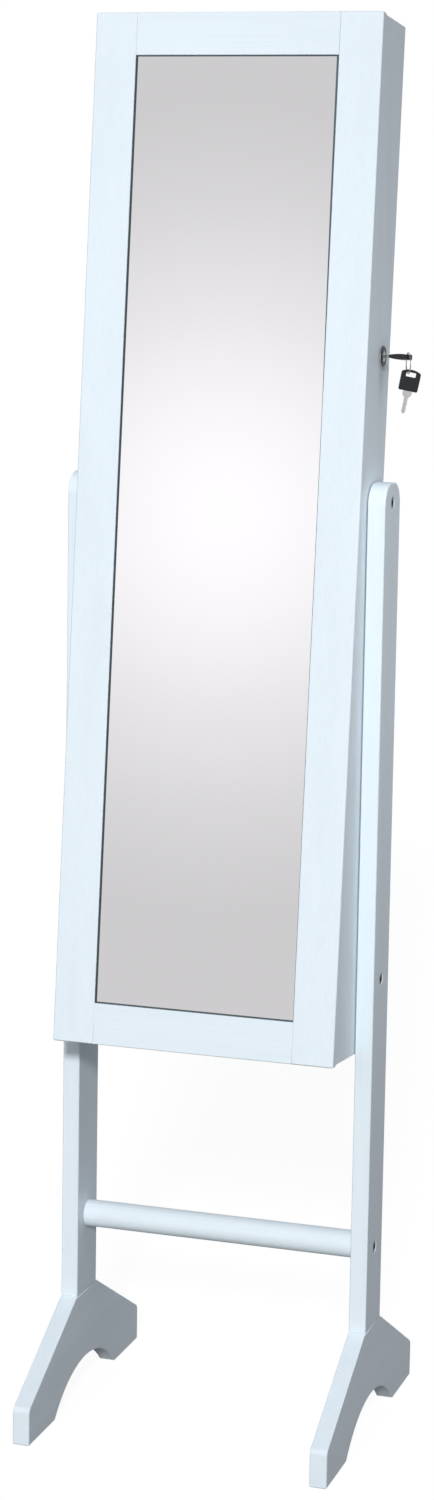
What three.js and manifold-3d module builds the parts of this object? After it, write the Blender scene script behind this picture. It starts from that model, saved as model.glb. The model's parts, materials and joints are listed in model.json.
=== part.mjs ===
// A free-standing jewelry cabinet with a mirror door, hung between the two posts of a stand.
// Millimetres, +Z up, the front faces -Y, +X is to the right of someone looking at the mirror.
// The stand is built in the axes of the floor. The cabinet is built in its own upright frame
// (y = 0 on the door's front face, z = 0 at the door's bottom edge) and leans back as a group.

import * as THREE from 'three';
import { mergeVertices } from 'three/addons/utils/BufferGeometryUtils.js';
import Module from 'manifold-3d';

const wasm = await Module();
wasm.setup();

// ---------------------------------------------------------------- driving dimensions

const gap = 0.3;                      // air between two pieces that touch
const overshoot = 1;                  // how far a cutter runs past the face that it cuts

// How many sides round shapes are drawn with
const smallRound = 12;
const mediumRound = 16;
const largeRound = 24;
const arcSteps = 8;

// Stand
const postThickness = 18.8;
const postDepth = 60;
const postHeadRadius = 23;
const postHeadAbovePivot = 20.5;
const pivotHeight = 1007;
const sideClearance = 1.2;            // between the cabinet's side and the post
const footLength = 344;
const footHeight = 117.5;
const footNoseHeight = 40;
const footNoseRounding = 5;
const footTopLedge = 2.5;
const soleLength = 77;
const archHeight = 40;
const stopCrossbarDiameter = 28;
const lowerCrossbarDiameter = 29.4;
const lowerCrossbarHeight = 206;

// Stand screws and the pivots
const screwShank = 6;
const screwHead = 12;
const screwHeadHeight = 4;
const screwSocket = 5;
const screwSocketDepth = 2.4;
const screwHeadBelowFace = 0.4;
const crossbarScrewBite = 33;
const footScrewBite = 42;
const washerDiameter = 20;
const insertWall = 1.6;

// Cabinet body
const restLean = 5.5;                 // degrees that the top leans back at rest
const stopClearance = 0.5;            // cabinet back to the stop crossbar
const cabinetWidth = 308;
const cabinetDepth = 91;              // the closed door included
const pivotFromBack = 34;
const pivotAboveDoorFoot = 585;
const panelThickness = 9;
const backThickness = 3;
const shelfThickness = 6;
const shelfDepth = 58;
const lowerShelfHeight = 200;
const middleCompartmentHeight = 184;
const fenceThickness = 3;
const fenceRise = 30;

// Fittings inside
const hookCount = 8;
const hookPitch = 34;
const hookReach = 24;
const hookThickness = 5;
const hookBevel = 2;
const hookTipTaper = 1;
const hookRailHeight = 24;
const hookRailThickness = 8;
const hookRailBelowTop = 27.5;
const earringBoardThickness = 3;
const earringBoardStandoff = 9;
const earringBoardHeight = 148;
const earringBoardMargin = 6;         // above and below the board
const earringRows = 3;
const earringColumns = 9;
const earringSlotWidth = 18;
const earringSlotHeight = 3;
const ringRollCount = 7;
const ringRollPitch = 20;
const ringCushionBase = 15;
const braceletBarDiameter = 22;
const braceletCupDiameter = 28;
const braceletCupThickness = 4;
const braceletBarAboveShelf = 52;
const braceletBarBelowCushion = 42;
const catchWidth = 16;
const catchDepth = 34;
const catchHeight = 20;
const catchBelowTop = 69.5;
const catchPlateThickness = 1;
const catchPlateOverlap = 5;          // above and below the magnet
const catchPlateInset = 2;

// Door
const doorHeight = 1080;
const doorThickness = 12.5;
const doorGap = 0.5;
const doorOverhang = 1.5;             // past the cabinet's top and bottom
const doorSideOverhang = 0.5;         // past each of the cabinet's sides
const stileWidth = 45;
const railWidth = 44;
const frameLip = 3;                   // wood in front of the mirror
const rebateWidth = 5;
const mirrorThickness = 3;

// Hinges
const hingeInset = 150;               // outer hinges from the door's ends
const hingeHeight = 50;
const hingeLeafThickness = 0.8;
const hingeLeafReach = 8;
const hingeLeafSetBack = 0.1;         // leaf below the face that it is let into
const hingeKnuckleRadius = 2.4;
const hingeKnuckleClearance = 0.4;
const hingePinRadius = 1.15;
const hingePinHeadRadius = 1.9;
const hingePinHeadHeight = 1;
const hingeAxisOutside = 1;           // hinge line outside the door's left edge

// Lock
const lockFromBack = 33.4;
const lockBelowShelf = 54.5;
const lockFlangeRadius = 11.2;
const lockFlangeThickness = 2.7;
const lockFlangeBevelDepth = 1;
const lockFlangeBevelWidth = 1.6;
const lockBarrelRadius = 9.4;
const lockBarrelLength = 20;
const lockNutAcrossCorners = 27;
const lockNutThickness = 4;
const plugRadius = 6;
const plugTailRadius = 3;
const plugTailProud = 0.2;            // past the cam, so that the screw doesn't clamp it
const camBehindBarrel = 2.6;
const camToDoor = 12.1;               // the open cam's tip to the door's back
const camWidth = 12;
const camThickness = 2;
const camScrewHeadRadius = 4.2;
const camScrewHeadThickness = 2;
const camScrewBevel = 0.8;
const camScrewRadius = 1.6;
const camScrewBite = 6;
const strikeThickness = 1.5;
const strikeHeight = 20;
const strikePlateHeight = 34;
const strikePlateWidth = 18;
const strikePlateBelow = 2;           // the plate reaches this far below the flange
const strikeAboveNut = 4;
const strikeInsideScrew = 4;          // the arm's clearance to the cam's screw
const strikePastCam = 3;
const strikePlay = 3;                 // cam to the strike's flange when locked

// Keys and their ring
const keyBladeLength = 17;
const keyBladeWidth = 4.3;
const keyBladeThickness = 1.8;
const keyTipLength = 2.6;
const keyTipWidth = 1;
const keyShoulderLength = 6.5;
const keyShoulderWidth = 9.7;
const keyShoulderSlope = 1.35;
const keyTangLength = 8;
const keyTangWidth = 7;
const keyHeadWidth = 20;
const keyHeadSide = 19.6;
const keyHeadCrown = 2.9;
const keyCrownFlattening = 0.3;
const keyHeadThickness = 5.4;
const keyHeadEdge = 0.8;
const keySlotWidth = 11;
const keySlotHeight = 4.6;
const keyStripWidth = 3.2;
const ringInnerRadius = 9.9;
const ringWireRadius = 0.8;
const ringWireSides = 6;
const ringSteps = 28;
const ringBearing = -64;              // degrees from +X, seen from above
const ringSideShift = -7;
const ringHangGap = 0.6;
const spareHangGap = 1;
const spareKeyLean = 11;              // degrees, blade end to the left
const keyBalanceFromTip = 24.2;

// ---------------------------------------------------------------- finishes

const finish = (color, roughness, metalness = 0) =>
  new THREE.MeshStandardMaterial({ color, roughness, metalness });

const whitePaint = finish(0xf1f6f8, 0.42);
const mirrorSilver = finish(0xe4e6e8, 0.03, 1);
const zincSteel = finish(0xb9bdc1, 0.35, 1);
const polishedChrome = finish(0xd6d9dc, 0.12, 1);
const brassInsert = finish(0xb59a5b, 0.35, 1);
const blackPlastic = finish(0x14161a, 0.4);
const blackVelvet = finish(0x1b1a1e, 0.95);
const clearAcrylic = finish(0xdfe8ec, 0.08);
const whiteNylon = finish(0xe8e8e6, 0.5);
const backingBoard = finish(0x2a282c, 0.85);

// ---------------------------------------------------------------- shaping tools

/** A block between two planes on each axis. */
function block([x0, x1], [y0, y1], [z0, z1]) {
  return new THREE.BoxGeometry(x1 - x0, y1 - y0, z1 - z0)
    .translate((x0 + x1) / 2, (y0 + y1) / 2, (z0 + z1) / 2);
}

/** A round bar along X from x0 to x1, centred on (y, z). */
function rodX(radius, x0, x1, y, z, sides = smallRound) {
  return new THREE.CylinderGeometry(radius, radius, Math.abs(x1 - x0), sides)
    .rotateZ(Math.PI / 2)
    .translate((x0 + x1) / 2, y, z);
}

/** A round bar along Z from z0 to z1, centred on (x, y). */
function rodZ(radius, z0, z1, x, y, sides = smallRound) {
  return new THREE.CylinderGeometry(radius, radius, z1 - z0, sides)
    .rotateX(Math.PI / 2)
    .translate(x, y, (z0 + z1) / 2);
}

/** A turned piece along +X. The profile's pairs are [along X, radius], from the low end up. */
function turned(profile, sides = smallRound) {
  const points = profile.map(([along, radius]) => new THREE.Vector2(radius, along));
  return new THREE.LatheGeometry(points, sides).rotateZ(-Math.PI / 2);
}

/** A flat outline in the Y-Z plane, made thick along X from x0. */
function plateX(outline, x0, thickness, curveSegments = smallRound) {
  const axes = new THREE.Matrix4().makeBasis(
    new THREE.Vector3(0, 1, 0), new THREE.Vector3(0, 0, 1), new THREE.Vector3(1, 0, 0));
  return new THREE.ExtrudeGeometry(outline, { depth: thickness, bevelEnabled: false, curveSegments })
    .applyMatrix4(axes)
    .translate(x0, 0, 0);
}

/** The outline through the given [u, v] corners. */
function outlineOf(corners) {
  return new THREE.Shape(corners.map(([u, v]) => new THREE.Vector2(u, v)));
}

function toSolid(geometry) {
  const bare = geometry.clone();
  bare.deleteAttribute('normal');
  bare.deleteAttribute('uv');
  const merged = mergeVertices(bare, 1e-4);
  return new wasm.Manifold(new wasm.Mesh({
    numProp: 3,
    vertProperties: new Float32Array(merged.attributes.position.array),
    triVerts: new Uint32Array(merged.index.array),
  }));
}

function fromSolid(solid) {
  const mesh = solid.getMesh();
  const geometry = new THREE.BufferGeometry();
  geometry.setAttribute('position', new THREE.BufferAttribute(mesh.vertProperties, 3));
  geometry.setIndex(new THREE.BufferAttribute(mesh.triVerts, 1));
  geometry.computeVertexNormals();
  return geometry;
}

/** The first shape with all the others taken out of it. */
function cut(base, ...tools) {
  return fromSolid(tools.reduce((solid, tool) => solid.subtract(toSolid(tool)), toSolid(base)));
}

/** All the shapes as one body. */
function join(first, ...others) {
  return fromSolid(others.reduce((solid, other) => solid.add(toSolid(other)), toSolid(first)));
}

/** Adds one named piece to a group. */
function piece(group, name, geometry, material) {
  const mesh = new THREE.Mesh(geometry, material);
  mesh.name = name;
  group.add(mesh);
  return mesh;
}

// ---------------------------------------------------------------- places worked out from the sizes

const lean = THREE.MathUtils.degToRad(restLean);
const hands = { left: -1, right: 1 };

const cabinetHalf = cabinetWidth / 2;
const postInner = cabinetHalf + sideClearance;
const postOuter = postInner + postThickness;
const postMiddle = (postInner + postOuter) / 2;
const postTop = pivotHeight + postHeadAbovePivot;
const headFloor = postOuter - screwHeadBelowFace - screwHeadHeight;
const screwClearRadius = screwShank / 2 + gap;
const headClearRadius = screwHead / 2 + gap;
const stopCrossbarRadius = stopCrossbarDiameter / 2;
const pivotDepth = cabinetDepth - pivotFromBack;

// The stop crossbar lies in the posts' middle plane, where the leaning cabinet's back meets it.
const stopCrossbarHeight = pivotHeight
  - (pivotFromBack + stopCrossbarRadius + stopClearance) / Math.sin(lean);

const insideHalf = cabinetHalf - panelThickness;
const bodyFront = doorThickness + doorGap;
const bodyFoot = doorOverhang;
const bodyTop = doorHeight - doorOverhang;
const insideFoot = bodyFoot + panelThickness;
const insideTop = bodyTop - panelThickness;
const backFace = cabinetDepth - backThickness;
const innerBack = backFace - gap;
const fitHalf = insideHalf - gap;
const insertRadius = screwClearRadius + insertWall;

// The fittings stand over each other from the lower shelf up; the hooks hang from the top.
const middleShelfHeight = lowerShelfHeight + shelfThickness + middleCompartmentHeight;
const braceletBarHeight = middleShelfHeight + shelfThickness + braceletBarAboveShelf;
const ringCushionFoot = braceletBarHeight + braceletBarBelowCushion;
const earringBoardFoot = ringCushionFoot + ringRollCount * ringRollPitch + earringBoardMargin;
const upperShelfHeight = earringBoardFoot + earringBoardHeight + earringBoardMargin;
const hookRailFoot = insideTop - hookRailBelowTop - hookRailHeight;
const catchLevel = insideTop - catchBelowTop;

const doorHalf = cabinetHalf + doorSideOverhang;
const mirrorHalf = doorHalf - stileWidth;
const rebateHalf = mirrorHalf + rebateWidth;
const rebateFoot = railWidth - rebateWidth;
const rebateTop = doorHeight - rebateFoot;
const mirrorFace = frameLip + gap;
const hingeX = -doorHalf - hingeAxisOutside;
const hingeY = doorThickness + doorGap / 2;
const hingeLevels = { lower: hingeInset, middle: doorHeight / 2, upper: doorHeight - hingeInset };

const lockDepth = cabinetDepth - lockFromBack;
const lockLevel = upperShelfHeight - lockBelowShelf;
const lockFace = cabinetHalf + gap;
const plugFace = lockFace + lockFlangeThickness + gap;
const barrelEnd = lockFace - lockBarrelLength;
const camOuter = barrelEnd - camBehindBarrel;
const camInner = camOuter - camThickness;
const camReach = lockDepth - doorThickness - camToDoor;
const strikeFlangeY = lockDepth + camWidth / 2 + strikePlay;

// ---------------------------------------------------------------- stand

/** A cap screw along +X: its tip is at x = 0 and the underside of its head at x = length. */
function capScrew(length) {
  const crown = length + screwHeadHeight;
  return turned([
    [0, 0], [0, screwShank / 2], [length, screwShank / 2], [length, screwHead / 2],
    [crown, screwHead / 2], [crown, screwSocket / 2], [crown - screwSocketDepth, screwSocket / 2],
    [crown - screwSocketDepth, 0],
  ]);
}

/** A cap screw through the right-hand post, its tip at x = tip. */
function postScrew(tip) {
  return capScrew(headFloor - tip).translate(tip, 0, 0);
}

/** Turns a piece that is built for the right-hand side so that it faces the other way. */
function toSide(geometry, side) {
  return side > 0 ? geometry : geometry.rotateZ(Math.PI);
}

function postOutline() {
  const half = postDepth / 2;
  const foot = footHeight + gap;
  const shape = new THREE.Shape();
  shape.moveTo(-half, foot);
  shape.lineTo(half, foot);
  shape.lineTo(half, postTop - postHeadRadius);
  shape.absarc(half - postHeadRadius, postTop - postHeadRadius, postHeadRadius, 0, Math.PI / 2);
  shape.absarc(postHeadRadius - half, postTop - postHeadRadius, postHeadRadius, Math.PI / 2, Math.PI);
  shape.closePath();
  return shape;
}

function footOutline() {
  const half = footLength / 2;
  const archHalf = half - soleLength;
  const archRadius = (archHalf ** 2 + archHeight ** 2) / (2 * archHeight);
  const archAngle = Math.asin(archHalf / archRadius);
  const topHalf = postDepth / 2 + footTopLedge;
  const slope = new THREE.Vector2(half - topHalf, footNoseHeight - footHeight).normalize();
  const roundX = half - footNoseRounding * slope.x;
  const roundZ = footNoseHeight - footNoseRounding * slope.y;
  const shape = new THREE.Shape();
  shape.moveTo(-half, 0);
  shape.lineTo(-archHalf, 0);
  shape.absarc(0, archHeight - archRadius, archRadius,
    Math.PI / 2 + archAngle, Math.PI / 2 - archAngle, true);
  shape.lineTo(half, 0);
  shape.lineTo(half, footNoseHeight - footNoseRounding);
  shape.quadraticCurveTo(half, footNoseHeight, roundX, roundZ);
  shape.lineTo(topHalf, footHeight);
  shape.lineTo(-topHalf, footHeight);
  shape.lineTo(-roundX, roundZ);
  shape.quadraticCurveTo(-half, footNoseHeight, -half, footNoseHeight - footNoseRounding);
  shape.closePath();
  return shape;
}

/** The hole for a screw through the right-hand post, with a pocket for its head. */
function postScrewHole(height) {
  return [
    rodX(screwClearRadius, postInner - overshoot, postOuter, 0, height),
    rodX(headClearRadius, headFloor - gap, postOuter + overshoot, 0, height, mediumRound),
  ];
}

function buildPost(side) {
  const screwTop = footHeight + gap + footScrewBite + gap;
  const blank = plateX(postOutline(), postInner, postThickness);
  const holes = [pivotHeight, stopCrossbarHeight, lowerCrossbarHeight].flatMap(postScrewHole);
  const footBore = rodZ(screwClearRadius, footHeight - overshoot, screwTop, postMiddle, 0);
  return toSide(cut(blank, ...holes, footBore), side);
}

function buildFoot(side) {
  const headPocketTop = archHeight + screwHeadHeight + 2 * gap;
  const blank = plateX(footOutline(), postInner, postThickness, mediumRound);
  return toSide(cut(blank,
    rodZ(screwClearRadius, archHeight, footHeight + overshoot, postMiddle, 0),
    rodZ(headClearRadius, archHeight - overshoot, headPocketTop, postMiddle, 0, mediumRound)), side);
}

/** The upright screw that draws the post down on its foot, its head under the arch. */
function buildFootScrew() {
  const headTop = archHeight + gap + screwHeadHeight;
  const tip = footHeight + gap + footScrewBite;
  return capScrew(tip - headTop).rotateY(Math.PI / 2).translate(0, 0, tip);
}

/** A round wooden bar between the posts, bored at both ends for its screws. */
function buildCrossbar(radius, height) {
  const end = postInner - gap;
  const boreEnd = postInner - crossbarScrewBite - gap;
  return turned([
    [-boreEnd, 0], [-boreEnd, screwClearRadius], [-end, screwClearRadius], [-end, radius],
    [end, radius], [end, screwClearRadius], [boreEnd, screwClearRadius], [boreEnd, 0],
  ], largeRound).translate(0, 0, height);
}

function buildStand() {
  const stand = new THREE.Group();
  for (const [hand, side] of Object.entries(hands)) {
    piece(stand, `${hand}_post`, buildPost(side), whitePaint);
    piece(stand, `${hand}_foot`, buildFoot(side), whitePaint);
    piece(stand, `${hand}_foot_screw`, buildFootScrew(), zincSteel).position.x = side * postMiddle;
    const barScrew = () => toSide(postScrew(postInner - crossbarScrewBite), side);
    piece(stand, `${hand}_lower_bar_screw`, barScrew(), zincSteel).position.z = lowerCrossbarHeight;
    piece(stand, `${hand}_stop_bar_screw`, barScrew(), zincSteel).position.z = stopCrossbarHeight;
  }
  const [lowerBar, stopBar] = [buildCrossbar(lowerCrossbarDiameter / 2, lowerCrossbarHeight),
    buildCrossbar(stopCrossbarRadius, stopCrossbarHeight)];
  piece(stand, 'lower_crossbar', lowerBar, whitePaint);
  piece(stand, 'stop_crossbar', stopBar, whitePaint);
  return stand;
}

// ---------------------------------------------------------------- pivots

/** The pivot screw, washer and threaded insert of one side, on the pivot line. */
function buildPivots() {
  const pivots = new THREE.Group();
  const insertEnd = cabinetHalf - panelThickness + gap;
  for (const [hand, side] of Object.entries(hands)) {
    piece(pivots, `${hand}_pivot_screw`, toSide(postScrew(insertEnd + gap), side), zincSteel);
    const washer = turned([
      [cabinetHalf + gap, screwClearRadius], [cabinetHalf + gap, washerDiameter / 2],
      [postInner - gap, washerDiameter / 2], [postInner - gap, screwClearRadius],
      [cabinetHalf + gap, screwClearRadius],
    ], mediumRound);
    piece(pivots, `${hand}_pivot_washer`, toSide(washer, side), whiteNylon);
    const insert = turned([
      [insertEnd, screwClearRadius], [insertEnd, insertRadius], [cabinetHalf, insertRadius],
      [cabinetHalf, screwClearRadius], [insertEnd, screwClearRadius],
    ]);
    piece(pivots, `${hand}_pivot_insert`, toSide(insert, side), brassInsert);
  }
  pivots.position.set(0, pivotDepth, pivotAboveDoorFoot);
  return pivots;
}

// ---------------------------------------------------------------- cabinet body

/** The pocket that a hinge leaf is let into: `low` to `high` is its depth along Y. */
function hingeRelief(level, low, high) {
  const foot = level - hingeHeight / 2 - hingePinHeadHeight - 2 * gap;
  const top = level + hingeHeight / 2 + hingePinHeadHeight + 2 * gap;
  return [
    block([hingeX, hingeX + hingeAxisOutside + hingeLeafReach + gap], [low, high], [foot, top]),
    rodZ(hingeKnuckleRadius + hingeKnuckleClearance, foot, top, hingeX, hingeY, mediumRound),
  ];
}

function buildSidePanel(side) {
  const blank = block(
    side > 0 ? [insideHalf, cabinetHalf] : [-cabinetHalf, -insideHalf],
    [bodyFront, cabinetDepth], [bodyFoot, bodyTop]);
  const [inner, outer] = [insideHalf - overshoot, cabinetHalf + overshoot];
  const cuts = [rodX(insertRadius + gap, side * inner, side * outer, pivotDepth, pivotAboveDoorFoot)];
  if (side > 0) {
    cuts.push(rodX(lockBarrelRadius + gap, inner, outer, lockDepth, lockLevel, largeRound));
  } else {
    const front = bodyFront - overshoot;
    const pocket = bodyFront + hingeLeafThickness + hingeLeafSetBack + gap;
    Object.values(hingeLevels).forEach((level) => cuts.push(...hingeRelief(level, front, pocket)));
  }
  return cut(blank, ...cuts);
}

/** A board between the sides, from the shelf front to the back panel. */
function shelfBoard(height) {
  return block([-fitHalf, fitHalf], [innerBack - shelfDepth, innerBack], [height, height + shelfThickness]);
}

function shelfFence(height) {
  const back = innerBack - shelfDepth - gap;
  return block([-fitHalf, fitHalf], [back - fenceThickness, back],
    [height, height + shelfThickness + fenceRise]);
}

/** One moulded rail with its row of upturned hooks. */
function necklaceRail() {
  const face = innerBack - hookRailThickness;
  const armFoot = hookRailFoot + (hookRailHeight - hookThickness) / 2;
  const armTop = armFoot + hookThickness;
  const root = face + overshoot;
  const tip = face - hookReach;
  const hook = outlineOf([
    [tip + hookBevel, armFoot], [tip, armFoot + hookBevel], [tip, armTop + hookThickness],
    [tip + hookThickness - hookTipTaper, armTop + hookThickness], [tip + hookThickness, armTop],
    [root, armTop], [root, armFoot],
  ]);
  const hooks = Array.from({ length: hookCount }, (_, i) =>
    plateX(hook, (i - (hookCount - 1) / 2) * hookPitch - hookThickness / 2, hookThickness));
  return join(
    block([-fitHalf, fitHalf], [face, innerBack], [hookRailFoot, hookRailFoot + hookRailHeight]), ...hooks);
}

/** A thin board with rows of slots for earrings, standing off the back. */
function earringBoard() {
  const back = innerBack - earringBoardStandoff;
  const front = back - earringBoardThickness;
  const slots = [];
  for (let row = 0; row < earringRows; row += 1) {
    for (let column = 0; column < earringColumns; column += 1) {
      const x = (column - (earringColumns - 1) / 2) * (2 * fitHalf / earringColumns);
      const z = earringBoardFoot + (row + 0.5) * (earringBoardHeight / earringRows);
      slots.push(block([x - earringSlotWidth / 2, x + earringSlotWidth / 2],
        [front - overshoot, back + overshoot],
        [z - earringSlotHeight / 2, z + earringSlotHeight / 2]));
    }
  }
  return cut(block([-fitHalf, fitHalf], [front, back],
    [earringBoardFoot, earringBoardFoot + earringBoardHeight]), ...slots);
}

/** Soft rolls side by side on one base: rings are pushed in between them. */
function ringCushion() {
  const rollRadius = ringRollPitch / 2;
  const base = innerBack - ringCushionBase;
  const shape = new THREE.Shape();
  shape.moveTo(innerBack, ringCushionFoot);
  shape.lineTo(innerBack, ringCushionFoot + ringRollCount * ringRollPitch);
  for (let i = ringRollCount - 1; i >= 0; i -= 1) {
    shape.absarc(base, ringCushionFoot + (i + 0.5) * ringRollPitch, rollRadius, Math.PI / 2, Math.PI * 1.5);
  }
  shape.closePath();
  return plateX(shape, -fitHalf, 2 * fitHalf, arcSteps);
}

function braceletBar() {
  const cup = fitHalf - braceletCupThickness;
  const [barRadius, cupRadius] = [braceletBarDiameter / 2, braceletCupDiameter / 2];
  return turned([
    [-fitHalf, 0], [-fitHalf, cupRadius], [-cup, cupRadius], [-cup, barRadius],
    [cup, barRadius], [cup, cupRadius], [fitHalf, cupRadius], [fitHalf, 0],
  ], mediumRound).translate(0, (bodyFront + innerBack) / 2, braceletBarHeight);
}

function buildCabinetBody() {
  const body = new THREE.Group();
  piece(body, 'left_side_panel', buildSidePanel(-1), whitePaint);
  piece(body, 'right_side_panel', buildSidePanel(1), whitePaint);
  piece(body, 'top_panel',
    block([-fitHalf, fitHalf], [bodyFront, cabinetDepth], [insideTop, bodyTop]), whitePaint);
  piece(body, 'bottom_panel',
    block([-fitHalf, fitHalf], [bodyFront, cabinetDepth], [bodyFoot, insideFoot]), whitePaint);
  piece(body, 'back_panel',
    block([-fitHalf, fitHalf], [backFace, cabinetDepth], [insideFoot + gap, insideTop - gap]), whitePaint);
  piece(body, 'upper_shelf', shelfBoard(upperShelfHeight), whitePaint);
  piece(body, 'middle_shelf', shelfBoard(middleShelfHeight), whitePaint);
  piece(body, 'lower_shelf', shelfBoard(lowerShelfHeight), whitePaint);
  piece(body, 'middle_shelf_fence', shelfFence(middleShelfHeight), clearAcrylic);
  piece(body, 'lower_shelf_fence', shelfFence(lowerShelfHeight), clearAcrylic);
  piece(body, 'necklace_rail', necklaceRail(), blackPlastic);
  piece(body, 'earring_board', earringBoard(), blackVelvet);
  piece(body, 'ring_cushion', ringCushion(), blackVelvet);
  piece(body, 'bracelet_bar', braceletBar(), blackVelvet);
  const catchFront = doorThickness + catchPlateThickness + 2 * gap;
  piece(body, 'magnetic_catch', block([fitHalf - catchWidth, fitHalf],
    [catchFront, catchFront + catchDepth], [catchLevel - catchHeight / 2, catchLevel + catchHeight / 2]),
  blackPlastic);
  return body;
}

// ---------------------------------------------------------------- hinges

/** A hinge leaf: its plate, and the knuckles whose [foot, top] are given. */
function hingeLeaf(level, plateY, knuckles) {
  const plateX0 = hingeX + hingeKnuckleRadius + gap;
  const plateX1 = hingeX + hingeAxisOutside + hingeLeafReach;
  const plate = block([plateX0, plateX1], plateY, [level - hingeHeight / 2, level + hingeHeight / 2]);
  const rolled = knuckles.flatMap(([foot, top]) => [
    block([hingeX, plateX0 + overshoot], plateY, [foot, top]),
    rodZ(hingeKnuckleRadius, foot, top, hingeX, hingeY),
  ]);
  const bore = rodZ(hingePinRadius + gap, level - hingeHeight, level + hingeHeight, hingeX, hingeY);
  return cut(join(plate, ...rolled), bore);
}

function hingePin(level) {
  const foot = level - hingeHeight / 2;
  const top = level + hingeHeight / 2 + gap;
  return turned([
    [foot, 0], [foot, hingePinRadius], [top, hingePinRadius], [top, hingePinHeadRadius],
    [top + hingePinHeadHeight, hingePinHeadRadius], [top + hingePinHeadHeight, 0],
  ]).rotateY(-Math.PI / 2).translate(hingeX, hingeY, 0);
}

function buildHinges(cabinetGroup, doorGroup) {
  const third = hingeHeight / 3;
  const doorPlate = [doorThickness - hingeLeafSetBack - hingeLeafThickness, doorThickness - hingeLeafSetBack];
  const bodyPlate = [bodyFront + hingeLeafSetBack, bodyFront + hingeLeafSetBack + hingeLeafThickness];
  for (const [where, level] of Object.entries(hingeLevels)) {
    const foot = level - hingeHeight / 2;
    const lowKnuckle = [foot, foot + third - gap / 2];
    const midKnuckle = [foot + third + gap / 2, foot + 2 * third - gap / 2];
    const topKnuckle = [foot + 2 * third + gap / 2, foot + hingeHeight];
    piece(cabinetGroup, `${where}_hinge_cabinet_leaf`,
      hingeLeaf(level, bodyPlate, [lowKnuckle, topKnuckle]), zincSteel);
    piece(doorGroup, `${where}_hinge_door_leaf`, hingeLeaf(level, doorPlate, [midKnuckle]), zincSteel);
    piece(cabinetGroup, `${where}_hinge_pin`, hingePin(level), zincSteel);
  }
}

// ---------------------------------------------------------------- door

function buildStile(side) {
  const edge = side * doorHalf;
  const inner = side * mirrorHalf;
  const rebate = side * rebateHalf;
  const between = (a, b) => [Math.min(a, b), Math.max(a, b)];
  const blank = block(between(edge, inner), [0, doorThickness], [0, doorHeight]);
  const back = doorThickness + overshoot;
  const cuts = [block(between(inner - side * overshoot, rebate), [frameLip, back], [rebateFoot, rebateTop])];
  if (side < 0) {
    const pocket = doorThickness - hingeLeafThickness - hingeLeafSetBack - gap;
    Object.values(hingeLevels).forEach((level) => cuts.push(...hingeRelief(level, pocket, back)));
  }
  return cut(blank, ...cuts);
}

/** A rail between the stiles; its rebate is cut over the given [foot, top]. */
function buildRail(foot, rebateSpan) {
  const half = mirrorHalf - gap;
  return cut(
    block([-half, half], [0, doorThickness], [foot, foot + railWidth]),
    block([-mirrorHalf, mirrorHalf], [frameLip, doorThickness + overshoot], rebateSpan));
}

/** The strike on the door's back: a plate, an arm past the lock and a flange behind the cam. */
function buildStrike() {
  const plateY = doorThickness + gap;
  const armX = camInner - gap - camScrewHeadThickness - strikeInsideScrew;
  const foot = lockLevel + lockNutAcrossCorners / 2 + strikeAboveNut;
  const plateFoot = foot - strikePlateBelow;
  const flange = [armX - strikeThickness, camOuter + strikePastCam];
  return join(
    block([armX - strikePlateWidth / 2, armX + strikePlateWidth / 2], [plateY, plateY + strikeThickness],
      [plateFoot, plateFoot + strikePlateHeight]),
    block([armX - strikeThickness, armX], [plateY, strikeFlangeY + strikeThickness],
      [foot, foot + strikeHeight]),
    block(flange, [strikeFlangeY, strikeFlangeY + strikeThickness], [foot, foot + strikeHeight]));
}

function buildDoor() {
  const door = new THREE.Group();
  const paneHalf = rebateHalf - gap;
  const paneSpan = [rebateFoot + gap, rebateTop - gap];
  const mirrorBack = mirrorFace + mirrorThickness;
  piece(door, 'left_stile', buildStile(-1), whitePaint);
  piece(door, 'right_stile', buildStile(1), whitePaint);
  const topRailFoot = doorHeight - railWidth;
  piece(door, 'top_rail', buildRail(topRailFoot, [topRailFoot - overshoot, rebateTop]), whitePaint);
  piece(door, 'bottom_rail', buildRail(0, [rebateFoot, railWidth + overshoot]), whitePaint);
  piece(door, 'mirror', block([-paneHalf, paneHalf], [mirrorFace, mirrorBack], paneSpan), mirrorSilver);
  piece(door, 'door_backing',
    block([-paneHalf, paneHalf], [mirrorBack + gap, doorThickness - gap], paneSpan), backingBoard);
  const catchPlateHalf = catchHeight / 2 + catchPlateOverlap;
  piece(door, 'catch_plate', block([fitHalf - catchWidth, fitHalf - catchPlateInset],
    [doorThickness + gap, doorThickness + gap + catchPlateThickness],
    [catchLevel - catchPlateHalf, catchLevel + catchPlateHalf]), zincSteel);
  piece(door, 'lock_strike', buildStrike(), zincSteel);
  return door;
}

// ---------------------------------------------------------------- lock

function lockHousing() {
  const face = lockFace + lockFlangeThickness;
  const bore = plugRadius + gap;
  return turned([
    [barrelEnd, bore], [barrelEnd, lockBarrelRadius], [lockFace, lockBarrelRadius],
    [lockFace, lockFlangeRadius], [face - lockFlangeBevelDepth, lockFlangeRadius],
    [face, lockFlangeRadius - lockFlangeBevelWidth], [face, bore], [barrelEnd, bore],
  ], largeRound);
}

function lockNut() {
  const outer = insideHalf - gap;
  const hexagon = new THREE.CylinderGeometry(
    lockNutAcrossCorners / 2, lockNutAcrossCorners / 2, lockNutThickness, 6)
    .rotateZ(Math.PI / 2)
    .translate(outer - lockNutThickness / 2, 0, 0);
  const bore = rodX(lockBarrelRadius + gap, outer - lockNutThickness - overshoot, outer + overshoot,
    0, 0, largeRound);
  return cut(hexagon, bore);
}

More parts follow.
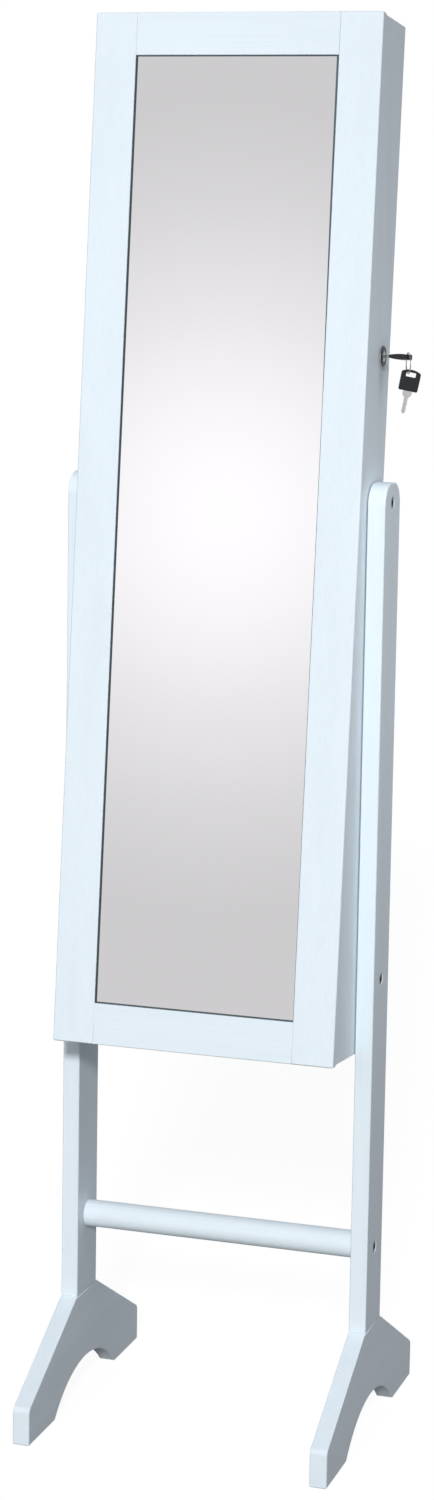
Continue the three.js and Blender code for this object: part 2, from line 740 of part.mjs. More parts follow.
function lockPlug() {
  const tail = camInner - plugTailProud;
  const bore = camScrewRadius + gap;
  const boreEnd = tail + camScrewBite + gap;
  const blank = turned([
    [boreEnd, 0], [boreEnd, bore], [tail, bore], [tail, plugTailRadius],
    [camOuter + gap, plugTailRadius], [camOuter + gap, plugRadius], [plugFace, plugRadius], [plugFace, 0],
  ], largeRound);
  const keyway = block([plugFace - keyBladeLength - gap, plugFace + overshoot],
    [-keyBladeWidth / 2 - gap, keyBladeWidth / 2 + gap],
    [-keyBladeThickness / 2 - gap, keyBladeThickness / 2 + gap]);
  return cut(blank, keyway);
}

/** The latch arm on the plug's tail; it points at the door when the lock is open. */
function lockCam() {
  const half = camWidth / 2;
  const arm = new THREE.Shape();
  arm.absarc(0, 0, half, -Math.PI / 2, Math.PI / 2);
  arm.lineTo(-camReach, half);
  arm.lineTo(-camReach, -half);
  arm.closePath();
  const hole = new THREE.Path();
  hole.absarc(0, 0, plugTailRadius + gap, 0, Math.PI * 2);
  arm.holes.push(hole);
  return plateX(arm, camInner, camThickness, arcSteps);
}

function camScrew() {
  const head = camInner - gap;
  return turned([
    [head - camScrewHeadThickness, 0], [head - camScrewHeadThickness, camScrewHeadRadius - camScrewBevel],
    [head - camScrewBevel, camScrewHeadRadius], [head, camScrewHeadRadius], [head, camScrewRadius],
    [head + camScrewBite, camScrewRadius], [head + camScrewBite, 0],
  ]);
}

function buildLock() {
  const lock = new THREE.Group();
  piece(lock, 'lock_housing', lockHousing(), polishedChrome);
  piece(lock, 'lock_nut', lockNut(), zincSteel);
  piece(lock, 'lock_plug', lockPlug(), polishedChrome);
  piece(lock, 'lock_cam', lockCam(), zincSteel);
  piece(lock, 'cam_screw', camScrew(), zincSteel);
  lock.position.set(0, lockDepth, lockLevel);
  return lock;
}

// ---------------------------------------------------------------- keys

const headStart = keyBladeLength + keyShoulderLength;
const headEnd = headStart + keyHeadSide + keyHeadCrown;
const slotTop = headEnd - keyStripWidth;

/** Blade, shoulder and tang, cut from one strip of metal; the tip is at x = 0. */
function keyBlade() {
  const [blade, shoulder, tang] = [keyBladeWidth / 2, keyShoulderWidth / 2, keyTangWidth / 2];
  const end = headStart + keyTangLength;
  const lower = [
    [0, -keyTipWidth / 2], [keyTipLength, -blade], [keyBladeLength, -blade],
    [keyBladeLength + keyShoulderSlope, -shoulder], [headStart - gap, -shoulder],
    [headStart - gap, -tang], [end, -tang],
  ];
  const upper = lower.map(([x, y]) => [x, -y]).reverse();
  return new THREE.ExtrudeGeometry(outlineOf([...lower, ...upper]),
    { depth: keyBladeThickness, bevelEnabled: false })
    .translate(0, 0, -keyBladeThickness / 2);
}

/** The moulded head: flat sides, an arched end, and a slot across it for the ring. */
function keyHead() {
  const inset = keyHeadEdge;
  const half = keyHeadWidth / 2 - inset;
  const slotHalf = keySlotWidth / 2;
  const crown = headEnd - inset;
  const shape = new THREE.Shape();
  shape.moveTo(headStart + inset, -half);
  shape.lineTo(crown - keyHeadCrown, -half);
  shape.quadraticCurveTo(crown + keyHeadCrown - 2 * keyCrownFlattening, 0, crown - keyHeadCrown, half);
  shape.lineTo(headStart + inset, half);
  shape.closePath();
  const slot = new THREE.Path();
  slot.moveTo(slotTop + inset, -slotHalf - inset);
  slot.lineTo(slotTop + inset, slotHalf + inset);
  slot.lineTo(slotTop - keySlotHeight - inset, slotHalf + inset);
  slot.lineTo(slotTop - keySlotHeight - inset, -slotHalf - inset);
  slot.closePath();
  shape.holes.push(slot);
  const body = new THREE.ExtrudeGeometry(shape, {
    depth: keyHeadThickness - 2 * inset, bevelThickness: inset, bevelSize: inset, bevelSegments: 2,
    curveSegments: arcSteps,
  }).translate(0, 0, inset - keyHeadThickness / 2);
  const pocket = block([headStart - overshoot, headStart + keyTangLength + gap],
    [-keyTangWidth / 2 - gap, keyTangWidth / 2 + gap],
    [-keyBladeThickness / 2 - gap, keyBladeThickness / 2 + gap]);
  return cut(body, pocket);
}

/** A key in its own frame: its length along +X from the tip, its width along Y. */
function buildKey(prefix) {
  const key = new THREE.Group();
  piece(key, `${prefix}_blade`, keyBlade(), polishedChrome);
  piece(key, `${prefix}_head`, keyHead(), blackPlastic);
  return key;
}

/** The split ring and the spare key, hanging plumb from the slot of the key in the lock. */
function buildHangingKeys(strip) {
  const hanging = new THREE.Group();
  const bearing = THREE.MathUtils.degToRad(ringBearing);
  const along = new THREE.Vector3(Math.cos(bearing), Math.sin(bearing), 0);
  const across = new THREE.Vector3(-Math.sin(bearing), Math.cos(bearing), 0);
  const up = new THREE.Vector3(0, 0, 1);
  const wireCircle = ringInnerRadius + ringWireRadius;
  const centre = strip.clone().addScaledVector(up, keyHeadThickness / 2 + ringHangGap - ringInnerRadius);

  const ring = piece(hanging, 'key_ring',
    new THREE.TorusGeometry(wireCircle, ringWireRadius, ringWireSides, ringSteps), polishedChrome);
  ring.quaternion.setFromRotationMatrix(new THREE.Matrix4().makeBasis(along, up, along.clone().cross(up)));
  ring.position.copy(centre);

  const bottom = centre.clone().addScaledVector(up, -wireCircle);
  const leanAngle = THREE.MathUtils.degToRad(spareKeyLean);
  const spare = buildKey('spare_key');
  const lengthwise = up.clone().multiplyScalar(Math.cos(leanAngle))
    .addScaledVector(across, Math.sin(leanAngle));
  const hangFromTip = slotTop - ringWireRadius - spareHangGap;
  const hangAside = Math.tan(leanAngle) * (hangFromTip - keyBalanceFromTip);
  const widthwise = along.clone().negate().cross(lengthwise).normalize();
  const through = lengthwise.clone().cross(widthwise);
  spare.quaternion.setFromRotationMatrix(new THREE.Matrix4().makeBasis(lengthwise, widthwise, through));
  spare.position.copy(bottom)
    .addScaledVector(lengthwise, -hangFromTip)
    .addScaledVector(widthwise, hangAside);
  hanging.add(spare);
  return hanging;
}

// ---------------------------------------------------------------- the whole cabinet on its stand

const cabinet = new THREE.Group();
const door = buildDoor();
cabinet.add(buildCabinetBody(), buildPivots(), buildLock(), door);
buildHinges(cabinet, door);

const lockedInKey = buildKey('key');
lockedInKey.position.set(plugFace + gap - keyBladeLength, lockDepth, lockLevel);
cabinet.add(lockedInKey);
cabinet.position.set(0, -pivotDepth, -pivotAboveDoorFoot);

const tilting = new THREE.Group();
tilting.add(cabinet);
tilting.position.z = pivotHeight;
tilting.rotation.x = -lean;

const model = new THREE.Group();
model.add(buildStand(), tilting);
model.updateMatrixWorld(true);

const stripMiddle = new THREE.Vector3(
  slotTop + keyStripWidth / 2 - keyCrownFlattening, ringSideShift, 0)
  .applyMatrix4(lockedInKey.matrixWorld);
model.add(buildHangingKeys(stripMiddle));

// The origin is on the floor under the middle of the whole object, keys included.
model.updateMatrixWorld(true);
const reach = new THREE.Box3().setFromObject(model, true);
model.position.x = -(reach.min.x + reach.max.x) / 2;
model.position.y = -(reach.min.y + reach.max.y) / 2;
model.updateMatrixWorld(true);

export default model;
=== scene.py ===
"""The looks of a free-standing jewelry cabinet with a mirror door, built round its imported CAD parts."""

import json
import logging
import math
from collections.abc import Callable, Iterable, Sequence
from dataclasses import dataclass
from enum import Enum

import bmesh
import bpy
from mathutils import Matrix, Vector


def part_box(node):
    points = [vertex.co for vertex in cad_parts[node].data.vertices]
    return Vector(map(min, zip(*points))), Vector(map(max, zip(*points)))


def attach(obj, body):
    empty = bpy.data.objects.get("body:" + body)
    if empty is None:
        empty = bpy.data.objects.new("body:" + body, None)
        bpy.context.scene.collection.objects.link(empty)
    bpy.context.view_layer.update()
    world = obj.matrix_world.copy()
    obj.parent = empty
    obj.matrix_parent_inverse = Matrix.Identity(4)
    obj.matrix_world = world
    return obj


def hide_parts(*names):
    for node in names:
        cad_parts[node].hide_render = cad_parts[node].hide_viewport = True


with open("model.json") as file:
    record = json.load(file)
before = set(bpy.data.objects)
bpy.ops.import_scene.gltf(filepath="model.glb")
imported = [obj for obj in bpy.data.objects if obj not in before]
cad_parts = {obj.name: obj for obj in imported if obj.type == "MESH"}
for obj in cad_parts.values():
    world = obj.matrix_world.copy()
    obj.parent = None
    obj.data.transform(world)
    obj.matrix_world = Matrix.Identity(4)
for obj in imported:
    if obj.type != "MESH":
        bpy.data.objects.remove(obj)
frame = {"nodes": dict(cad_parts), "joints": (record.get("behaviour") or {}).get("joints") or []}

log = logging.getLogger("jewelry_cabinet")

MM = 0.001
Loop = Sequence[tuple[float, float]]
Span = tuple[float, float]


# ---------------------------------------------------------------- shader maths


class Wire:
    """One output socket of a node tree, with arithmetic that adds Math nodes."""

    def __init__(self, graph: "Graph", socket: bpy.types.NodeSocket) -> None:
        """Wraps a socket of the graph's tree."""
        self.graph = graph
        self.socket = socket

    def math(self, operation: str, *others: "Wire | float", flip: bool = False) -> "Wire":
        """Adds one Math node.

        Args:
            operation: The Math node's operation.
            others: The remaining operands.
            flip: Whether this wire is the second operand.

        Returns:
            The result's wire.
        """
        operands = [self, *others]
        if flip:
            operands.reverse()
        return self.graph.add("ShaderNodeMath", {"operation": operation}, dict(enumerate(operands)))

    def __add__(self, other: "Wire | float") -> "Wire":
        """Adds."""
        return self.math("ADD", other)

    __radd__ = __add__

    def __mul__(self, other: "Wire | float") -> "Wire":
        """Multiplies."""
        return self.math("MULTIPLY", other)

    __rmul__ = __mul__

    def __sub__(self, other: "Wire | float") -> "Wire":
        """Subtracts."""
        return self.math("SUBTRACT", other)

    def __rsub__(self, other: "Wire | float") -> "Wire":
        """Subtracts this wire from a number."""
        return self.math("SUBTRACT", other, flip=True)

    def __truediv__(self, other: "Wire | float") -> "Wire":
        """Divides."""
        return self.math("DIVIDE", other)

    def least(self, other: "Wire | float") -> "Wire":
        """Gives the smaller of the two."""
        return self.math("MINIMUM", other)

    def most(self, other: "Wire | float") -> "Wire":
        """Gives the larger of the two."""
        return self.math("MAXIMUM", other)

    def ramp(self, low: float, high: float) -> "Wire":
        """Rises smoothly from 0 at low to 1 at high."""
        spans = {"Value": self, "From Min": low, "From Max": high}
        return self.graph.add("ShaderNodeMapRange", {"interpolation_type": "SMOOTHSTEP"}, spans)


class Graph:
    """A shader tree being built: every node comes from its one method, add."""

    def __init__(self, tree: bpy.types.NodeTree) -> None:
        """Starts on an emptied tree."""
        tree.nodes.clear()
        self.tree = tree

    def add(self, kind: str, settings: dict | None = None, inputs: dict | None = None,
            output: int | str = 0) -> Wire:
        """Adds one node.

        Args:
            kind: The node's type.
            settings: Its own properties; "stops" are a ramp's (position, colour) pairs.
            inputs: Values or wires by socket name or number.
            output: Which output to wrap.

        Returns:
            The wire of that output.
        """
        node = self.tree.nodes.new(kind)
        for name, value in (settings or {}).items():
            if name == "stops":
                self._set_stops(node.color_ramp, value)
            else:
                setattr(node, name, value)
        for key, value in (inputs or {}).items():
            socket = node.inputs[key]
            if isinstance(value, Wire):
                self.tree.links.new(value.socket, socket)
            else:
                socket.default_value = value
        return Wire(self, node.outputs[output])

    @staticmethod
    def _set_stops(ramp: bpy.types.ColorRamp, stops: Sequence[tuple[float, float]]) -> None:
        """Gives a ramp its (position, grey) stops."""
        for position, _ in stops[len(ramp.elements):]:
            ramp.elements.new(position)
        for element, (position, grey) in zip(ramp.elements, stops):
            element.position = position
            element.color = (grey, grey, grey, 1.0)

    def close(self, kind: str, surface: Wire) -> None:
        """Links the finished shader to an output node of that kind."""
        node = self.tree.nodes.new(kind)
        self.tree.links.new(surface.socket, node.inputs["Surface"])

    def place(self, scale: Sequence[float] = (1, 1, 1), turn: Sequence[float] = (0, 0, 0)) -> Wire:
        """Object coordinates, turned and then stretched.

        Args:
            scale: Pattern units per metre on each axis.
            turn: Euler angles, in radians.

        Returns:
            The vector's wire.
        """
        point = self.add("ShaderNodeTexCoord", output="Object")
        turned = self.add("ShaderNodeMapping", {"vector_type": "POINT"}, {"Vector": point, "Rotation": turn})
        return self.add("ShaderNodeMapping", {"vector_type": "POINT"}, {"Vector": turned, "Scale": scale})

    def noise(self, point: Wire, scale: float, detail: float = 2.0, roughness: float = 0.5) -> Wire:
        """A noise value from 0 to 1 at each point."""
        values = {"Vector": point, "Scale": scale, "Detail": detail, "Roughness": roughness}
        return self.add("ShaderNodeTexNoise", None, values)

    def blend(self, factor: Wire, first: Sequence[float], second: Sequence[float]) -> Wire:
        """A colour between two, by a factor."""
        values = {0: factor, 6: (*first, 1.0), 7: (*second, 1.0)}
        return self.add("ShaderNodeMix", {"data_type": "RGBA"}, values, output=2)

    def bump(self, height: Wire, depth: float, strength: float = 1.0) -> Wire:
        """A normal from a height of 0 to 1 that is depth metres deep."""
        return self.add("ShaderNodeBump", None, {"Height": height, "Distance": depth, "Strength": strength})


# ---------------------------------------------------------------- finishes

Colour = tuple[float, float, float]


def shade(colour: Colour, factor: float) -> Colour:
    """A colour made lighter or darker by a factor."""
    return tuple(min(1.0, channel * factor) for channel in colour)


class Grain(Enum):
    """The direction in which a board's grain runs."""

    ACROSS = 0
    DEPTH = 1
    UPRIGHT = 2


@dataclass(frozen=True)
class Finish:
    """A surface finish. Subclasses give the shader its sockets."""

    name: str

    def material(self) -> bpy.types.Material:
        """Builds the material once and returns it."""
        found = bpy.data.materials.get(self.name)
        if found:
            return found
        made = bpy.data.materials.new(self.name)
        made.use_nodes = True
        graph = Graph(made.node_tree)
        graph.close("ShaderNodeOutputMaterial", self.surface(graph))
        return made

    def surface(self, graph: Graph) -> Wire:
        """Builds the shader in the graph and returns its wire."""
        raise NotImplementedError

    def principled(self, graph: Graph, values: dict) -> Wire:
        """Adds the main shader with these values or wires on its sockets."""
        return graph.add("ShaderNodeBsdfPrincipled", None, values)


@dataclass(frozen=True)
class PaintedWood(Finish):
    """Satin paint on board: faint grain lines along it, and the paint's own fine skin."""

    grain: Grain = Grain.UPRIGHT
    lean: float = 0.0
    colour: Colour = (0.8, 0.893, 0.94)
    roughness: float = 0.4
    lines_per_metre: float = 420.0
    stretch: float = 0.022
    line_depth: float = 0.00016
    skin_scale: float = 900.0
    skin_depth: float = 0.00003

    def surface(self, graph: Graph) -> Wire:
        """Builds the paint's shader."""
        stretched = [1.0, 1.0, 1.0]
        stretched[self.grain.value] = self.stretch
        along = graph.place(stretched, (-self.lean, 0.0, 0.0))
        lines = graph.noise(along, self.lines_per_metre, 3.0, 0.62)
        broad = graph.noise(along, self.lines_per_metre * 0.11, 2.0)
        skin = graph.noise(graph.place(), self.skin_scale, 1.0)
        cloud = graph.noise(graph.place(), 5.0, 2.0)
        tone = (lines * 0.45 + broad * 0.4 + cloud * 0.3).ramp(0.35, 0.8)
        height = lines * self.line_depth + broad * (0.6 * self.line_depth) + skin * self.skin_depth
        return self.principled(graph, {
            "Base Color": graph.blend(tone, shade(self.colour, 0.965), shade(self.colour, 1.03)),
            "Roughness": lines * 0.1 + skin * 0.06 + (self.roughness - 0.08),
            "Normal": graph.bump(height, 1.0, 0.75),
            "Specular IOR Level": 0.3,
        })


@dataclass(frozen=True)
class SilveredGlass(Finish):
    """A looking glass: clear and bright, with the faintest cloud in its polish."""

    colour: Colour = (0.915, 0.897, 0.915)
    roughness: float = 0.012

    def surface(self, graph: Graph) -> Wire:
        """Builds the mirror's shader."""
        cloud = graph.noise(graph.place(), 7.0, 3.0)
        return self.principled(graph, {
            "Base Color": graph.blend(cloud, shade(self.colour, 0.995), shade(self.colour, 1.005)),
            "Metallic": 1.0,
            "Roughness": cloud * 0.006 + self.roughness,
        })


@dataclass(frozen=True)
class Metal(Finish):
    """Plated or polished metal with fine draw marks."""

    colour: Colour = (0.62, 0.63, 0.65)
    roughness: float = 0.28
    mark_scale: float = 2600.0
    mark_depth: float = 0.00001
    tarnish: float = 0.9

    def surface(self, graph: Graph) -> Wire:
        """Builds the metal's shader."""
        marks = graph.noise(graph.place((1.0, 1.0, 0.2)), self.mark_scale, 2.0)
        stain = graph.noise(graph.place(), 120.0, 3.0)
        return self.principled(graph, {
            "Base Color": graph.blend(stain.ramp(0.3, 0.75), shade(self.colour, self.tarnish), self.colour),
            "Metallic": 1.0,
            "Roughness": marks * 0.08 + stain * 0.08 + (self.roughness - 0.08),
            "Normal": graph.bump(marks, self.mark_depth),
        })


@dataclass(frozen=True)
class MouldedPlastic(Finish):
    """Moulded plastic with a fine spark-eroded skin."""

    colour: Colour = (0.012, 0.013, 0.016)
    roughness: float = 0.38
    skin_scale: float = 2400.0
    skin_depth: float = 0.00002

    def surface(self, graph: Graph) -> Wire:
        """Builds the plastic's shader."""
        skin = graph.noise(graph.place(), self.skin_scale, 2.0)
        flow = graph.noise(graph.place(), 90.0, 2.0)
        return self.principled(graph, {
            "Base Color": graph.blend(flow, shade(self.colour, 0.85), shade(self.colour, 1.25)),
            "Roughness": skin * 0.12 + flow * 0.06 + (self.roughness - 0.09),
            "Normal": graph.bump(skin, self.skin_depth),
        })


@dataclass(frozen=True)
class Velvet(Finish):
    """Short-pile velvet: dark, brushed in patches, with a pale edge sheen."""

    colour: Colour = (0.014, 0.013, 0.016)
    pile_scale: float = 3200.0
    pile_depth: float = 0.00022

    def surface(self, graph: Graph) -> Wire:
        """Builds the velvet's shader."""
        pile = graph.noise(graph.place(), self.pile_scale, 2.0, 0.7)
        brushed = graph.noise(graph.place((1.0, 1.0, 0.5)), 60.0, 3.0)
        tone = (pile * 0.5 + brushed * 0.6).ramp(0.3, 0.85)
        return self.principled(graph, {
            "Base Color": graph.blend(tone, shade(self.colour, 0.6), shade(self.colour, 2.4)),
            "Roughness": pile * 0.12 + 0.82,
            "Normal": graph.bump(pile * 0.8 + brushed * 0.4, self.pile_depth),
            "Sheen Weight": 0.55,
            "Sheen Roughness": 0.4,
            "Sheen Tint": (0.62, 0.6, 0.68, 1.0),
            "Specular IOR Level": 0.25,
        })


@dataclass(frozen=True)
class ClearAcrylic(Finish):
    """Clear acrylic sheet with light handling marks."""

    colour: Colour = (0.93, 0.96, 0.97)

    def surface(self, graph: Graph) -> Wire:
        """Builds the acrylic's shader."""
        marks = graph.noise(graph.place((0.15, 1.0, 1.0)), 500.0, 3.0)
        return self.principled(graph, {
            "Base Color": graph.blend(marks, shade(self.colour, 0.98), shade(self.colour, 1.02)),
            "Roughness": marks * 0.05 + 0.02,
            "Transmission Weight": 0.94,
            "IOR": 1.49,
        })


@dataclass(frozen=True)
class PressedBoard(Finish):
    """Fibreboard faced with dark paper: a fine random fleck."""

    colour: Colour = (0.021, 0.019, 0.022)

    def surface(self, graph: Graph) -> Wire:
        """Builds the board's shader."""
        fleck = graph.noise(graph.place(), 1500.0, 4.0, 0.7)
        cloud = graph.noise(graph.place(), 14.0, 2.0)
        tone = (fleck * 0.6 + cloud * 0.4).ramp(0.35, 0.75)
        return self.principled(graph, {
            "Base Color": graph.blend(tone, shade(self.colour, 0.75), shade(self.colour, 1.6)),
            "Roughness": fleck * 0.15 + 0.7,
            "Normal": graph.bump(fleck, 0.00006),
        })


PAINT_UPRIGHT = PaintedWood("white_paint_upright")
PAINT_ACROSS = PaintedWood("white_paint_across", Grain.ACROSS)
PAINT_DEPTH = PaintedWood("white_paint_lengthwise", Grain.DEPTH)
LEAN = math.radians(5.5)
PAINT_LEANING = PaintedWood("white_paint_leaning", Grain.UPRIGHT, LEAN)
PAINT_LEANING_ACROSS = PaintedWood("white_paint_leaning_across", Grain.ACROSS, LEAN)
MIRROR_GLASS = SilveredGlass("silvered_glass")
STEEL = Metal("zinc_plated_steel", (0.55, 0.57, 0.6), 0.3)
DARK_STEEL = Metal("blackened_steel_screw", (0.19, 0.215, 0.26), 0.36)
CHROME = Metal("polished_chrome", (0.72, 0.73, 0.74), 0.12, tarnish=0.96)
# Painted reflection: a dark copy of the chrome that stands in for the dark reflection on the lock flange's face.
CHROME_DARK_REFLECTION = Metal("satin_chrome", (0.13, 0.14, 0.16), 0.3)
NICKEL = Metal("nickel_plated_key", (0.9, 0.91, 0.93), 0.34)
BRASS = Metal("brass_insert", (0.58, 0.42, 0.16), 0.32)
BLACK_PLASTIC = MouldedPlastic("black_moulded_plastic")
NYLON = MouldedPlastic("white_nylon", (0.74, 0.74, 0.72), 0.42)
# Painted shade: a dark slate-grey strip that stands in for the shade in the recess round the mirror glass.
RECESS_SHADE_STRIP = MouldedPlastic("slate_grey_glazing_bead", (0.085, 0.12, 0.135), 0.6)
VELVET = Velvet("black_velvet")
ACRYLIC = ClearAcrylic("clear_acrylic")
BOARD = PressedBoard("dark_backing_board")


# ---------------------------------------------------------------- axes


@dataclass(frozen=True)
class Axes:
    """The axes that a sub-assembly is built in: millimetres, taken to the row frame by a matrix."""

    to_row: Matrix

    def box(self, node: str) -> tuple[Vector, Vector]:
        """A CAD node's lowest and highest corner in these axes."""
        back = self.to_row.inverted()
        points = [back @ vertex.co for vertex in frame["nodes"][node].data.vertices]
        lowest = Vector(min(point[axis] for point in points) for axis in range(3))
        highest = Vector(max(point[axis] for point in points) for axis in range(3))
        return lowest, highest

    def moved(self, to: Sequence[float], turn: Matrix | None = None) -> "Axes":
        """Axes with their origin at a point of these, and perhaps turned about it."""
        return Axes(self.to_row @ Matrix.Translation(to) @ (turn or Matrix.Identity(4)))


def basis(x: Vector, y: Vector, z: Vector, origin: Vector) -> Matrix:
    """The matrix from millimetres along x, y and z to the row frame's metres."""
    columns = [(axis * MM).to_4d() for axis in (x, y, z)] + [origin.to_4d()]
    for column, w in zip(columns, (0, 0, 0, 1)):
        column.w = w
    return Matrix(columns).transposed()


def joint(name: str) -> dict:
    """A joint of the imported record, by its name."""
    return next(found for found in frame["joints"] if found["name"] == name)


def middle(low: Vector, high: Vector) -> Vector:
    """The point halfway between two corners."""
    return (low + high) / 2


def stand_axes() -> Axes:
    """Axes on the floor, halfway between the posts."""
    low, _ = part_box("left_post")
    _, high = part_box("right_post")
    centre = Vector(((low.x + high.x) / 2, 0, 0))
    return Axes(basis(Vector((1, 0, 0)), Vector((0, 1, 0)), Vector((0, 0, 1)), centre))


def cabinet_axes() -> Axes:
    """The leaning cabinet's axes: y = 0 on the door's face, z = 0 at the door's bottom edge."""
    up = -Vector(joint("door_hinge")["axis"]).normalized()
    right = Vector((1, 0, 0))
    deep = up.cross(right)
    loose = Axes(basis(right, deep, up, Vector((0, 0, 0))))
    low, high = loose.box("left_stile")
    _, far = loose.box("right_stile")
    return loose.moved(((low.x + far.x) / 2, low.y, low.z))


def key_axes(cabinet: Axes) -> Axes:
    """Axes of the key in the lock: x from its tip along it, y across its width."""
    low, high = cabinet.box("key_blade")
    return cabinet.moved((low.x, middle(low, high).y, middle(low, high).z))


def ring_axes() -> Axes:
    """Axes of the key ring: x and y in its plane, from its centre."""
    along = Vector(joint("ring_swing")["axis"]).normalized()
    up = Vector((0, 0, 1))
    low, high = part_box("key_ring")
    return Axes(basis(along, up, along.cross(up), middle(low, high)))


def spare_key_axes(lean: float = math.radians(11)) -> Axes:
    """Axes of the hanging spare key: x from its tip along it, y across its width."""
    along = Vector(joint("spare_key_swing")["axis"]).normalized()
    up = Vector((0, 0, 1))
    across = up.cross(along)
    lengthwise = up * math.cos(lean) + across * math.sin(lean)
    widthwise = (-along).cross(lengthwise).normalized()
    loose = Axes(basis(lengthwise, widthwise, lengthwise.cross(widthwise), Vector((0, 0, 0))))
    low, high = loose.box("spare_key_blade")
    return loose.moved((low.x, middle(low, high).y, middle(low, high).z))


# ---------------------------------------------------------------- mesh tools


def link(name: str, mesh: bpy.types.Mesh) -> bpy.types.Object:
    """Links a mesh to the scene as a new object."""
    made = bpy.data.objects.new(name, mesh)
    bpy.context.scene.collection.objects.link(made)
    return made


def from_bmesh(name: str, shape: bmesh.types.BMesh) -> bpy.types.Object:
    """Turns a finished bmesh into an object with its faces pointing outwards."""
    bmesh.ops.remove_doubles(shape, verts=shape.verts, dist=1e-5)
    bmesh.ops.recalc_face_normals(shape, faces=shape.faces)
    mesh = bpy.data.meshes.new(name)
    shape.to_mesh(mesh)
    shape.free()
    return link(name, mesh)


def discard(*pieces: bpy.types.Object) -> None:
    """Removes helper objects and their meshes."""
    for piece in pieces:
        mesh = piece.data
        bpy.data.objects.remove(piece)
        bpy.data.meshes.remove(mesh)


def settled(piece: bpy.types.Object) -> bpy.types.Object:
    """The object with its modifiers worked into a plain mesh of the same name."""
    bpy.context.view_layer.update()
    evaluated = piece.evaluated_get(bpy.context.evaluated_depsgraph_get())
    mesh = bpy.data.meshes.new_from_object(evaluated)
    name = piece.name
    discard(piece)
    mesh.name = name
    return link(name, mesh)


def merged(name: str, pieces: Iterable[bpy.types.Object]) -> bpy.types.Object:
    """One object that holds the meshes of all the pieces."""
    shape = bmesh.new()
    for piece in pieces:
        shape.from_mesh(piece.data)
        discard(piece)
    mesh = bpy.data.meshes.new(name)
    shape.to_mesh(mesh)
    shape.free()
    return link(name, mesh)


def extruded(name: str, outline: Loop, low: float, high: float, axes: str = "YZX") -> bpy.types.Object:
    """A flat outline made thick.

    Args:
        name: The object's name.
        outline: Its corners in order.
        low: Where the thickness starts.
        high: Where the thickness ends.
        axes: Which axes the outline's two directions and the thickness run along.

    Returns:
        The object.
    """
    order = ["XYZ".index(letter) for letter in axes]
    shape = bmesh.new()
    rings = []
    for level in (low, high):
        ring = []
        for u, v in outline:
            place = [0.0, 0.0, 0.0]
            for axis, value in zip(order, (u, v, level)):
                place[axis] = value
            ring.append(shape.verts.new(place))
        rings.append(ring)
    shape.faces.new(rings[0])
    shape.faces.new(rings[1])
    for i in range(len(outline)):
        following = (i + 1) % len(outline)
        shape.faces.new((rings[0][i], rings[0][following], rings[1][following], rings[1][i]))
    return from_bmesh(name, shape)


def block(name: str, x: Span, y: Span, z: Span) -> bpy.types.Object:
    """A block between two planes on each axis, to be cut or eased."""
    return extruded(name, [(y[0], z[0]), (y[1], z[0]), (y[1], z[1]), (y[0], z[1])], *x)


class RingShape(Enum):
    """The outline of one ring of a turned piece."""

    ROUND = "round"
    HEXAGON = "hexagon"
    CROSS = "cross"

    def reach(self, radius: float, angle: float) -> float:
        """How far the outline lies from the axis at an angle, for its largest radius."""
        if self is RingShape.HEXAGON:
            sixth = math.pi / 3
            return radius * math.cos(sixth / 2) / math.cos(angle % sixth - sixth / 2)
        if self is RingShape.CROSS:
            return radius * (0.34 + 0.66 * abs(math.cos(2 * angle)) ** 4)
        return radius


@dataclass(frozen=True)
class Ring:
    """One ring of a turned piece: its place along the axis, its radius and its outline."""

    along: float
    radius: float
    outline: RingShape = RingShape.ROUND


def turned(name: str, rings: Sequence[Ring | tuple[float, float]], sides: int = 48) -> bpy.types.Object:
    """A piece turned about the X axis.

    Args:
        name: The object's name.
        rings: Its rings in order, or (along, radius) pairs; a radius of 0 closes an end.
        sides: Steps round the axis.

    Returns:
        The object. Where no ring closes an end, the first and last rings are joined.
    """
    steps = [ring if isinstance(ring, Ring) else Ring(*ring) for ring in rings]
    shape = bmesh.new()
    loops = []
    for ring in steps:
        if ring.radius == 0:
            loops.append([shape.verts.new((ring.along, 0, 0))])
            continue
        loop = []
        for side in range(sides):
            angle = side * math.tau / sides
            reach = ring.outline.reach(ring.radius, angle)
            loop.append(shape.verts.new((ring.along, reach * math.cos(angle), reach * math.sin(angle))))
        loops.append(loop)
    pairs = list(zip(loops, loops[1:]))
    if len(loops[0]) > 1 and len(loops[-1]) > 1:
        pairs.append((loops[-1], loops[0]))
    for first, second in pairs:
        for i in range(sides):
            following = (i + 1) % sides
            corners = [first[i % len(first)], first[following % len(first)],
                       second[following % len(second)], second[i % len(second)]]
            distinct = list(dict.fromkeys(corners))
            if len(distinct) > 2:
                shape.faces.new(distinct)
    return from_bmesh(name, shape)


def carved(blank: bpy.types.Object, cutters: Sequence[bpy.types.Object],
           operation: str = "DIFFERENCE") -> bpy.types.Object:
    """The blank with each of the cutters taken out, added or kept.

    Args:
        blank: The piece to work on.
        cutters: Closed meshes, used up in the work.
        operation: The Boolean modifier's operation.

    Returns:
        The new piece, under the blank's name.
    """
    for cutter in cutters:
        modifier = blank.modifiers.new("carve", "BOOLEAN")
        modifier.operation = operation
        modifier.solver = "EXACT"
        modifier.object = cutter
    made = settled(blank)
    discard(*cutters)
    return made


